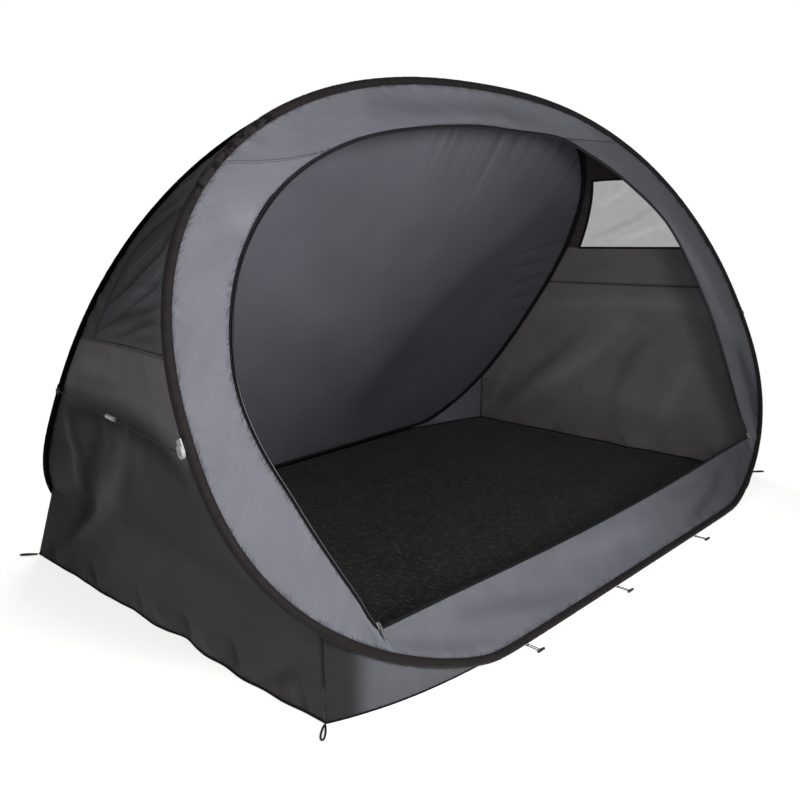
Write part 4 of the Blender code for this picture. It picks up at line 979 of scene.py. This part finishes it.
sideLook = {
    "hollow": 0.012, "wallRows": 141, "wallColumns": 121,
    "sewnAt": 0.807,        # the right wall's sewn line, as a share of its rows
    # row numbers of the corner seam, window foot, window top, border seam, ridge
    "rowMarks": [3, 13, 18, 21, 30],
    "wallSeam": {"spacing": 0.013, "height": 0.0014, "reach": 0.020, "slant": 30.0},
    "hemEdge": {"spacing": 0.018, "height": 0.0022, "reach": 0.030, "slant": 12.0},
    "netEdge": {"spacing": 0.016, "height": 0.0014, "reach": 0.020, "slant": -30.0},
    "stripEdge": {"spacing": 0.012, "height": 0.0018, "reach": 0.040, "slant": 35.0},
    "fillEdge": {"spacing": 0.016, "height": 0.0030, "reach": 0.025, "slant": 10.0},
    "fillRows": 101, "fillColumns": 24,
}
sides = {
    "left": {
        "flip": -1, "windowBottom": (12.2, 11.4), "windowTop": (17.05, -0.2, -1.6), "rear": 0.87, "seed": 40,
        "netDeepest": 0.005, "binding": 0.0014,
        "wall": [           # in millimetres: width, height, and the y and z of each corner
            (34, 11, 470, 566, 401, 585, 288, 596, 106, 614, -25, 619, -137, 613, -217, 597, -290, 560),
            (30, -7, 500, 500, 400, 530, 288, 545, 106, 560, -25, 565, -137, 555, -250, 520),
            (14, -4.5, 440, 610, 362, 616, 220, 632, 100, 640), (16, 3, 420, 660, 330, 662, 200, 672),
            (34, 12, 59, 532, 173, 402, 310, 302, 544, 154, 690, 45),
            (30, -13, 258, 488, 351, 379, 631, 99, 720, 35), (26, 5, -39, 526, 92, 443, 217, 328, 330, 240),
            (18, -4, 10, 500, 120, 400, 225, 300), (30, 9, 500, 500, 440, 400, 500, 280),
            (18, -6, -285, 10, -348, 56, -410, 100), (7, 3.5, -395, 6, -375, 60), (6, -3.5, -418, 6, -405, 75),
            (6, 3, -438, 6, -432, 60), (7, -3, -360, 6, -335, 45), (14, -7, -200, 6, -160, 75),
            (14, -7, 20, 6, 50, 65), (16, 5, -100, 6, -50, 50), (14, 5, 100, 6, 160, 50),
            (12, -6, 220, 6, 260, 60), (12, -5.5, 450, 6, 500, 55),
        ],
        "net": [
            (6, -11, -85, 982, -12, 936, 69, 903, 145, 865, 245, 819, 330, 781),
            (7, 5, -70, 1000, 0, 962, 90, 925, 180, 880),
            (4.2, -6.6, -128, 894, -69, 867, 70, 821, 207, 769, 350, 718),
            (7, 3.5, -120, 912, -50, 882, 80, 838), (10, -5.5, -144, 845, -23, 818, 163, 786),
            (9, -5, -145, 818, 40, 772, 163, 738), (10, -3, -160, 780, -40, 757, 60, 745),
        ],
        "upper": [
            (10, -4, 15, 1054, 105, 1034, 187, 1008), (10, 3, 0, 1085, 97, 1070, 160, 1050),
            (6, -3, 97, 1099, 148, 1079),
        ],
    },
    "right": {
        "flip": 1, "windowBottom": (14.0, 13.9), "windowTop": (19.4, 0.0, -0.2), "rear": 0.90, "seed": 140,
        "netDeepest": 0.030, "binding": 0.0044,
        "wall": [
            (34, 7, 450, 580, 200, 600, -100, 605, -280, 570), (34, 7, 100, 520, 200, 400, 360, 260, 620, 100),
            (30, -8, 280, 480, 380, 360, 660, 90), (30, -6, -50, 500, 60, 380, 100, 200),
            (30, 5, -200, 440, -160, 280, -100, 120), (20, 5, 830, 6, 700, 120, 600, 300),
            (16, -5, -360, 6, -320, 90), (12, -4, 20, 6, 60, 55), (12, -3.5, 350, 6, 380, 60),
        ],
        "net": [
            (10, -4, -100, 1020, 50, 930, 220, 860), (12, 4, -140, 950, 0, 890, 120, 850),
            (10, 3, -20, 1090, 80, 1020, 160, 980),
        ],
        "upper": [(8, -2, 0, 1150, 100, 1130)],
    },
}


def hemFront(x):
    # the front hem: straight, drawn back towards its ends by the fifth power
    return -(hem["front"] - hem["cornerSetback"] * np.abs(x / hem["halfLength"]) ** hem["power"])


def hemRear(x):
    # the same at the back; between the corner fills the sheet is tucked under the rear sleeve
    tucked = hem["rearTuck"] * smoothStep(-np.abs(x), -0.80, -0.72)
    return hem["rear"] + tucked - hem["rearSetback"] * np.abs(x / hem["halfLength"]) ** hem["power"]


def scallops(share):
    # bell curves along the side hem: how far * exp(-((share - place) / width)^2)
    return sum(far * np.exp(-((share - place) / width) ** 2) for place, width, far in hem["scallops"])


def hemSide(share):
    # the side hem bows outwards as a parabola, with scallops
    bulge = hem["bulge"] * 4 * share * (1 - share)
    x = hem["halfLength"] + bulge + scallops(share) * np.sin(np.pi * share) ** 0.3
    front = hemFront(hem["halfLength"])
    return x, front + (hemRear(hem["halfLength"]) - front) * share


def sideEdge(row, front):
    # the wall's front or rear edge at these row numbers: 0 at the hem, 3 at the corner seam, 30 at the ridge
    marks = ("corner", "window", "windowTop", "seam", "ridge")
    (spots, ways), (others, otherWays) = (
        hoopAt(half, np.interp(row, sideLook["rowMarks"], [arcs[mark] for mark in marks]))
        for half, arcs in ((frontHalf, frontArcs), (rearHalf, rearArcs)))
    if not front:
        spots, ways, others = others, otherWays, spots
    edge = seatOn(spots, ways, others, tent["sleeveRadius"] - tent["tuck"])
    foot = np.array([*hemSide(0.0 if front else 1.0), hem["footZ"]])
    share = np.clip(row / sideLook["rowMarks"][0], 0, 1)[..., None]
    return foot * (1 - share) + edge * share


def sideSurface(row, u):
    # straight between the edges at equal rows, hollowed in the middle and bulged at the hem
    row, u = np.broadcast_arrays(np.asarray(row, float), np.asarray(u, float))
    grid = sideEdge(row, True) * (1 - u[..., None]) + sideEdge(row, False) * u[..., None]
    arch = 4 * u * (1 - u)
    height = grid[..., 2]
    nearHem = np.clip(1 - height / levels["corner"], 0, 1) ** 2
    body = np.clip(height / levels["window"], 0, 1) * np.clip(
        (tent["height"] - height) / (tent["height"] - levels["window"]), 0, 1)
    grid[..., 0] += arch * (hem["bulge"] * nearHem - sideLook["hollow"] * body)
    grid[..., 0] += nearHem * scallops(u) * np.sin(np.pi * u) ** 0.3
    return grid


def evened(grid, u, reach=13):
    # running mean up the columns, so that the wall turns softly above the corner seam; the edges keep their place
    shares = np.hanning(2 * reach + 3)[1:-1]
    shares = shares / shares.sum()
    inner = grid[reach:-reach]
    mean = sum(share * grid[k:len(grid) - 2 * reach + k] for k, share in enumerate(shares))
    weight = (smoothStep(u, 0, 0.12) * smoothStep(1 - u, 0, 0.12))[..., None]
    rows = np.arange(len(inner))[:, None, None]
    ramp = smoothStep(rows, 0, 12) * smoothStep(rows[::-1], 0, 12)
    out = grid.copy()
    out[reach:-reach] = inner + (mean - inner) * weight * ramp
    return out


def windowFoot(look, u):
    # row number of the window's lower edge, straight from front to rear
    return look["windowBottom"][0] + (look["windowBottom"][1] - look["windowBottom"][0]) * u


def windowHead(look, u):
    # a line that bends down towards the rear with the cube of the way along the window
    way = np.minimum(u / look["rear"], 1)
    return look["windowTop"][0] + look["windowTop"][1] * way + look["windowTop"][2] * way ** 3


def sideField(low, high, u, rows):
    # rows of points spread evenly from one row number to another, and the grid's lengths
    share = np.linspace(0, 1, rows)[:, None]
    grid = sideSurface(low * (1 - share) + high * share, u)
    return share, grid, clothUv(grid)


def sidePiece(name, grid, small, broad, look, dress, nodes, ends=(), shade=0.0):
    # the grid is the right side's; a left side is mirrored, then pushed along its normals
    outside = (6 * look["flip"], 0.1, 0.8)
    base = mirrored(grid, look["flip"])
    shaped = pushed(base, small + broad, outside)
    # painted shade in the creases, plus the painted light and shade given as shade
    tone = np.clip(toneOf(small, dress[2]) + shade, -1, 1)
    sheetPiece(name, shaped, base, outside, dress, nodes, tone, ends)
    normals = gridNormals(shaped)
    return shaped, normals * np.sign(((np.array(outside) - shaped) * normals).sum(-1).mean())


sewnRow = int(sideLook["wallRows"] * sideLook["sewnAt"])
for name, look in sides.items():
    seed, stitchRows = look["seed"], []
    # the wall, from the hem to the window's foot
    u = np.linspace(0, 1, sideLook["wallColumns"])[None, :]
    grid = evened(sideField(0 * u, windowFoot(look, u), u, sideLook["wallRows"])[1], u)
    uv = clothUv(grid)
    spot = settled(mirrored(grid, look["flip"]))
    small = sum(gathers(*fromEdge(uv, end), sideLook[kind], seed + n) for n, (end, kind) in enumerate((
        ("start", "wallSeam"), ("end", "wallSeam"), ("high", "wallSeam"), ("low", "hemEdge"))))
    inside = smoothStep(uv[..., 1], 0, 0.03) * smoothStep(fromEdge(uv, "end")[1], 0, 0.03)
    small = small + creaseField(spot[..., 1], spot[..., 2], look["wall"]) * inside
    broad = 0.005 * layeredNoise(uv[..., 1] / 0.25, uv[..., 0] / 0.5, seed + 4) * np.sin(np.pi * u)
    broad = broad * smoothStep(grid[..., 2], 0, 0.15)
    small = small * smoothStep(grid[..., 2], hem["footZ"], 0.020)
    if name == "left":
        # painted light and shade: the cloth above the arc of the upper fold is lighter, the band below it and the
        # rear foot darker
        arcY, arcZ = creaseLine(look["wall"][0])[::-1].T
        above = smoothStep(spot[..., 2] - np.interp(spot[..., 1], arcY, arcZ), -0.02, 0.03)
        shade = 0.8 * above - 0.75 * (1 - above) * smoothStep(spot[..., 2], 0.14, 0.30)
        shade = shade - 0.6 * smoothStep(spot[..., 1], 0.25, 0.65) * (1 - smoothStep(spot[..., 2], 0.30, 0.50))
    else:
        # painted light: the whole right wall lighter, with a dark sewn line across it
        shade = 0.4 - 1.15 * np.exp(-((uv[..., 0] - uv[sewnRow, :, 0]) / 0.005) ** 2)
    wall, ways = sidePiece(f"wall_{name}", grid, small, broad, look, ("dark", "dark_cloth", 0.018),
                           [f"side_wall_{name}"], ("start", "end", "low", "high"), shade)
    stitchRows += [(wall[-2], ways[-2]), (wall[3:40, 1], ways[3:40, 1])]
    if name == "right":
        stitchRows.append((wall[sewnRow], ways[sewnRow]))

    # the net, from the front hoop to the strip behind it
    across = np.linspace(0, 1, 85)[None, :]
    u = across * look["rear"]
    share, grid, uv = sideField(windowFoot(look, u), windowHead(look, u), u, 71)
    still = math.prod(np.minimum(1, 12 * way) for way in (across, 1 - across, share, 1 - share))
    spot = settled(mirrored(grid, look["flip"]))
    small = creaseField(spot[..., 1], spot[..., 2], look["net"]) * still
    small = small + gathers(*fromEdge(uv, "end"), sideLook["netEdge"], seed + 5)
    broad = 0.004 * layeredNoise(uv[..., 1] / 0.12, uv[..., 0] / 0.12, seed + 6) * still
    net, _ = sidePiece(f"net_{name}", grid, small, broad, look, ("net", "mesh", look["netDeepest"]),
                       [f"window_mesh_{name}"])

    # the cloth above the net, and the strip behind it
    u = np.linspace(0, 1, 71)[None, :]
    _, grid, uv = sideField(windowHead(look, u), sideLook["rowMarks"][-1], u, 111)
    across = uv[:, -1:, 1]
    spot = settled(mirrored(grid, look["flip"]))
    small = creaseField(spot[..., 1], spot[..., 2], look["upper"])
    small = small + gathers(*fromEdge(uv, "end"), sideLook["stripEdge"], seed + 7)
    small = small * smoothStep(uv[..., 1], 0, 0.02) * smoothStep(across - uv[..., 1], -0.002, 0.004)
    broad = 0.002 * layeredNoise(uv[..., 1] / 0.05, uv[..., 0] / 0.12, seed + 8) * np.sin(np.pi * u)
    upper, ways = sidePiece(f"upper_{name}", grid, small, broad, look, ("gusset", "dark_cloth", 0.005),
                            [f"side_gusset_{name}"], ("start", "end"))
    stitchRows.append((upper[1, :62], ways[1, :62]))
    across = np.linspace(0, 1, 21)[None, :]
    u = look["rear"] + (1 - look["rear"]) * across
    _, grid, uv = sideField(windowFoot(look, u), windowHead(look, u), u, 121)
    small = gathers(*fromEdge(uv, "end"), sideLook["stripEdge"], seed + 9) * np.minimum(1, 6 * across)
    sidePiece(f"strip_{name}", grid, small, 0 * small, look, ("gusset", "dark_cloth", 0.003),
              [f"side_gusset_{name}"], ("start", "end"))
    stitchedPiece(f"side_stitches_{name}", [stitchRow(path, ways, seamStitch) for path, ways in stitchRows],
                  materials["thread"])

    # the binding round the net is sewn on the inside
    outline = np.vstack([net[0], net[1:, -1], net[-1, ::-1][1:]]) - np.array([look["flip"] * 0.0045, 0.0, 0.0])
    piece = tubeMesh(f"window_edge_{name}", outline, look["binding"], sides=8, reference=(1.0, 0.0, 0.0))
    dressed(piece, materials["binding"])
    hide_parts(f"window_binding_{name}")

    # the fills between each hoop's low curve and the hem
    for label, half, arcsOf, hemOf, facing, seedOf in (
        ("front", frontHalf, frontArcs, hemFront, (0.8 * look["flip"], -5, 0.3), seed + 20),
        ("rear", rearHalf, rearArcs, hemRear, (0.8 * look["flip"], 5, 0.3), seed + 30),
    ):
        start = arcsOf["contact"]
        if label == "rear":
            # carried on under the sleeve
            start = np.interp(0.45, half[:1500, 0], lengthsAlong(half)[:1500])
        arcs = np.linspace(start, arcsOf["corner"], sideLook["fillRows"])
        spots, ways = hoopAt(half, arcs)
        low, high = spots[0, 0], spots[-1, 0]
        x = low + (hem["halfLength"] - 0.002 - low) * (spots[:, 0] - low) / (high - low)
        foot = np.stack([x, hemOf(x), np.full_like(x, hem["footZ"])], axis=-1)
        rim = seatOn(spots, ways, foot, tent["sleeveRadius"] - tent["tuck"])
        graded = gradedShare(sideLook["fillColumns"])
        share = graded[None, :, None]
        base = rim[:, None] * (1 - share) + foot[:, None] * share
        # the last rows run into the wall's own edge
        last = smoothStep(np.arange(sideLook["fillRows"]), 83, 100)[:, None, None]
        base = base + (sideEdge(sideLook["rowMarks"][0] * (1 - graded), label == "front") - base[-1]) * last
        base = mirrored(base, look["flip"])
        uv = clothUv(base)
        ease = np.sin(np.pi * graded)[None, :] * smoothStep(uv[:, -1:, 1], 0.01, 0.08) * (1 - last[..., 0])
        small = gathers(*fromEdge(uv, "end"), sideLook["fillEdge"], seedOf) * ease
        broad = 0.004 * layeredNoise(uv[..., 0] / 0.09, uv[..., 1] / 0.2, seedOf + 1) * ease
        shaped = pushed(base, small + broad, facing)
        # painted light and shade: the front fill dark where it faces the side and light where it turns to the front;
        # the rear fill a little lighter
        paintedCornerLight = -0.95 + 1.95 * smoothStep(np.abs(base[..., 0]), 1.035, 0.975) if label == "front" else 0.3
        sheetPiece(f"corner_{label}_{name}", shaped, base, facing, ("corner", "dark_cloth"),
                   [f"{label}_corner_{name}"], np.clip(toneOf(small, 0.012) + paintedCornerLight, -1, 1), ("start",))
print("sides made")


floorLook = {"rows": 131, "columns": 91, "height": 0.0009, "size": 0.16}
across = np.linspace(-1, 1, floorLook["rows"])[:, None]
back = np.linspace(0, 1, floorLook["columns"])[None, :]
x = across * hemSide(back)[0]
base = np.stack([x, hemFront(x) * (1 - back) + hemRear(x) * back, 0 * x + 0.0010], axis=-1)
# folded-map crumples: the ridges lie where layered noise crosses zero
rough = layeredNoise(base[..., 0] / floorLook["size"], base[..., 1] / floorLook["size"], 71, 4)
crumple = 1 - np.abs(rough) * 2.2
ridges = np.clip(crumple, 0, 1) ** 2 * (1 - np.abs(across) ** 30) * (1 - np.abs(2 * back - 1) ** 30)
shaped = base.copy()
shaped[..., 2] += floorLook["height"] * ridges
# painted highlight on the crumple ridges
sheetPiece("floor_sheet", shaped, base, (0, 0, 9), ("floor", "floor_sheet"), ["floor"], ridges * 0.5)

# the bound edge of the ground sheet and the walls
way = np.linspace(0, 1, 200)
frontX = np.linspace(-hem["halfLength"], hem["halfLength"], 260)
outline = np.vstack([
    np.stack([frontX, hemFront(frontX)], axis=-1),
    np.stack(hemSide(way[1:]), axis=-1),
    np.stack([frontX[::-1], hemRear(frontX[::-1])], axis=-1)[1:],
    np.stack(hemSide(way[::-1][1:-1]), axis=-1) * np.array([-1.0, 1.0]),
])
outline = np.column_stack([outline, np.full(len(outline), hem["edgeZ"])])
outline[:, 2] += hem["edgeRise"] * np.abs(softNoise(lengthsAlong(outline) / 0.05, 0.5 + 0 * outline[:, 0], 77))
piece = tubeMesh("hem_edge", outline, hem["edgeRadius"], sides=8, closed=True, reference=(0.0, 0.0, 1.0))
dressed(piece, materials["binding"])
print("floor made")


sleeves = {
    "front": {"half": frontHalf, "sides": 16, "steps": 1000, "seed": 81, "bunch": 0.30, "twist": 0.045},
    "rear": {"half": rearHalf, "sides": 14, "steps": 700, "seed": 82, "bunch": 0.02, "twist": 0.02},
}
for name, look in sleeves.items():
    right = sampled(look["half"], np.linspace(0, lengthsAlong(look["half"])[-1], look["steps"] // 2))
    path = np.vstack([right, mirrored(right, -1)[1:-1][::-1]])
    length = lengthsAlong(path)[:, None]
    angle = np.arange(look["sides"])[None, :] / look["sides"] * 2 * np.pi
    # small gathers everywhere; slanted twists along the ridge; bunched cloth on the upper left
    gathered = 0.05 * np.abs(softNoise(length / 0.012, np.cos(angle) * 1.5 + 3, look["seed"]))
    onRidge = smoothStep(path[:, 2:], 1.22, 1.30)
    twisted = look["twist"] * onRidge * (0.5 + 0.5 * np.sin(length / 0.016 * 2 * np.pi + 2 * angle))
    bunching = smoothStep(path[:, :1], -1.09, -1.03) * (1 - smoothStep(path[:, :1], -0.86, -0.79))
    bunching = bunching * smoothStep(path[:, 2:], 0.95, 1.02)
    lumps = softNoise(length / 0.008, angle * 1.1 + 9, look["seed"] + 1)
    bunched = look["bunch"] * bunching * np.clip(2.2 * lumps - 0.05, 0, 1)
    depth = gathered + twisted + bunched
    # painted shade in the gathers, twists and bunches, and painted highlight between the lumps of the bunched cloth
    tone = 0.6 * bunching * (bunched <= 0) - np.clip(depth / 0.14, 0, 1)
    if name == "rear":
        # darkened to nearly black on the outer side of the ring, left brown grey on the side that faces into the tent
        tone = smoothStep(np.sin(angle), -0.3, 0.3) - 1 + 0 * depth
    piece = tubeMesh(f"sleeve_{name}", path, tent["sleeveRadius"] * (1 - depth), sides=look["sides"], closed=True,
                     tone=np.vstack([tone, tone[:1]]))
    dressed(piece, materials[f"{name}Sleeve"])
    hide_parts(f"{name}_hoop")

# thin trims beside the front sleeve: dark cord at the walls, a red-brown edge at the border
trims = {"cordOut": 0.0008, "cordRadius": 0.0017, "edgeOut": 0.0010, "edgeRadius": 0.0011}
rows = np.linspace(1.2, sideLook["rowMarks"][-1], 300)
for name, flip in (("left", -1.0), ("right", 1.0)):
    seat = mirrored(sideEdge(rows, True), flip) + np.array([flip * trims["cordOut"], 0.0, 0.0])
    dressed(tubeMesh(f"sleeve_cord_{name}", seat, trims["cordRadius"], sides=8), materials["binding"])
edgePath = np.vstack([borderRims["left"], borderRims["top"], borderRims["right"]])
keep = np.concatenate([[True], np.linalg.norm(np.diff(edgePath, axis=0), axis=1) > 1e-4])
edgePath = edgePath[keep][::2] + np.array([0.0, -trims["edgeOut"], 0.0])
dressed(tubeMesh("sleeve_trim", edgePath, trims["edgeRadius"], sides=8), materials["trim"])
print("sleeves made")


# the fittings keep their CAD shape
finishes = {
    "zip_slider": "nickel", "zip_pull": "nickel", "side_cord": "elastic", "cord_ferrule": "palePlastic",
    "cord_buckle": "greyPlastic", "buckle_strap": "elastic", "cord_tab": "elastic", "peg_loop": "elastic",
    "sill_toggle": "darkPlastic",
}
for nodeName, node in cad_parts.items():
    for start, finish in finishes.items():
        if nodeName.startswith(start):
            node.data.materials.clear()
            node.data.materials.append(materials[finish])


studio = {
    "cameraAt": (-2.10817, -1.67501, 1.05268),
    "cameraTurn": (1.336138, 0.014318, -0.816701),
    "lens": 39.086,
    "sky": "#FFFFFF",
    "skyLight": 0.17,           # what the sky gives the object; it looks plain white behind it
    "paper": "#F2F2F0",
    "paperGlow": 0.80,          # keeps the paper pale where the lamps fall off
    "paperSize": 14.0,
    "paperFade": (1.3, 2.2),    # metres from the origin where it starts and ends
    "lamps": (
        {"name": "key", "at": (-0.95, -2.1, 1.35), "aim": (-0.80, 0.0, 0.65),
         "size": 0.8, "power": 21.5, "spread": 115},
        {"name": "side lamp", "at": (-3.4, -1.3, 1.2), "aim": (-1.1, 0.1, 0.50),
         "size": 1.2, "power": 8.0, "spread": 115},
        {"name": "inside lamp", "at": (-1.55, -1.45, 1.05), "aim": (1.1, 0.1, 0.50),
         "size": 0.3, "power": 1.05, "spread": 48},
        {"name": "back lamp", "at": (2.2, 3.2, 2.3), "aim": (0.3, 0.4, 0.5),
         "size": 2.0, "power": 60.0, "spread": 180},
    ),
}
camera = bpy.data.objects.new("camera", bpy.data.cameras.new("camera"))
camera.location = studio["cameraAt"]
camera.rotation_euler = studio["cameraTurn"]
camera.data.lens = studio["lens"]
camera.data.sensor_width = 36.0
bpy.context.scene.collection.objects.link(camera)
bpy.context.scene.camera = camera

world = bpy.data.worlds.new("studio")
world.use_nodes = True
sky = world.node_tree.nodes["Background"]
fillInputs(world.node_tree, sky, {"Color": linearColour(studio["sky"]), "Strength": studio["skyLight"]})
seen = addNode(world.node_tree, "Background", {"Color": linearColour(studio["sky"]), "Strength": 1.0})
ray = addNode(world.node_tree, "LightPath")
both = addNode(world.node_tree, "MixShader", {0: ray.outputs["Is Camera Ray"], 1: sky, 2: seen})
fillInputs(world.node_tree, world.node_tree.nodes["World Output"], {"Surface": both})
bpy.context.scene.world = world
bpy.context.scene.view_settings.view_transform = "Standard"

for lamp in studio["lamps"]:
    data = bpy.data.lights.new(lamp["name"], "AREA")
    data.size = lamp["size"]
    data.energy = lamp["power"]
    data.spread = math.radians(lamp["spread"])
    made = bpy.data.objects.new(lamp["name"], data)
    made.visible_camera = False
    made.location = lamp["at"]
    way = np.array(lamp["aim"], float) - np.array(lamp["at"], float)
    tilt = math.atan2(math.hypot(way[0], way[1]), -way[2])
    made.rotation_euler = (tilt, 0, math.atan2(way[1], way[0]) - math.pi / 2)
    bpy.context.scene.collection.objects.link(made)

paperMaterial, paperTree, paperShader = newMaterial("pale matt backdrop paper")
fillInputs(paperTree, paperShader, {
    "Base Color": linearColour(studio["paper"]), "Roughness": 0.9, "Specular IOR Level": 0.1,
    "Emission Color": linearColour(studio["paper"]), "Emission Strength": studio["paperGlow"]})
edge = np.array([-1.0, 1.0]) * studio["paperSize"]
paperX, paperY = np.meshgrid(edge, edge, indexing="ij")
corners = np.stack([paperX, paperY, 0 * paperX - 0.001], axis=-1)
paper = gridMesh("backdrop", corners, np.zeros((2, 2, 2)), outside=(0, 0, 9))
paper.data.materials.append(paperMaterial)
# away from the tent the paper fades to plain white, so that no horizon shows
place = addNode(paperTree, "TexCoord")
far = addNode(paperTree, "VectorMath", {0: place}, operation="LENGTH")
start, end = studio["paperFade"]
fade = addNode(paperTree, "MapRange", {"Value": far, "From Min": start, "From Max": end},
               interpolation_type="SMOOTHSTEP")
white = addNode(paperTree, "Emission", {"Color": linearColour("#FFFFFF"), "Strength": 1.0})
mixed = addNode(paperTree, "MixShader", {0: fade, 1: paperShader, 2: white})
fillInputs(paperTree, paperTree.nodes["Material Output"], {"Surface": mixed})
paper.visible_diffuse = False     # the bright paper sends no light back up into the cloth
print("studio set")
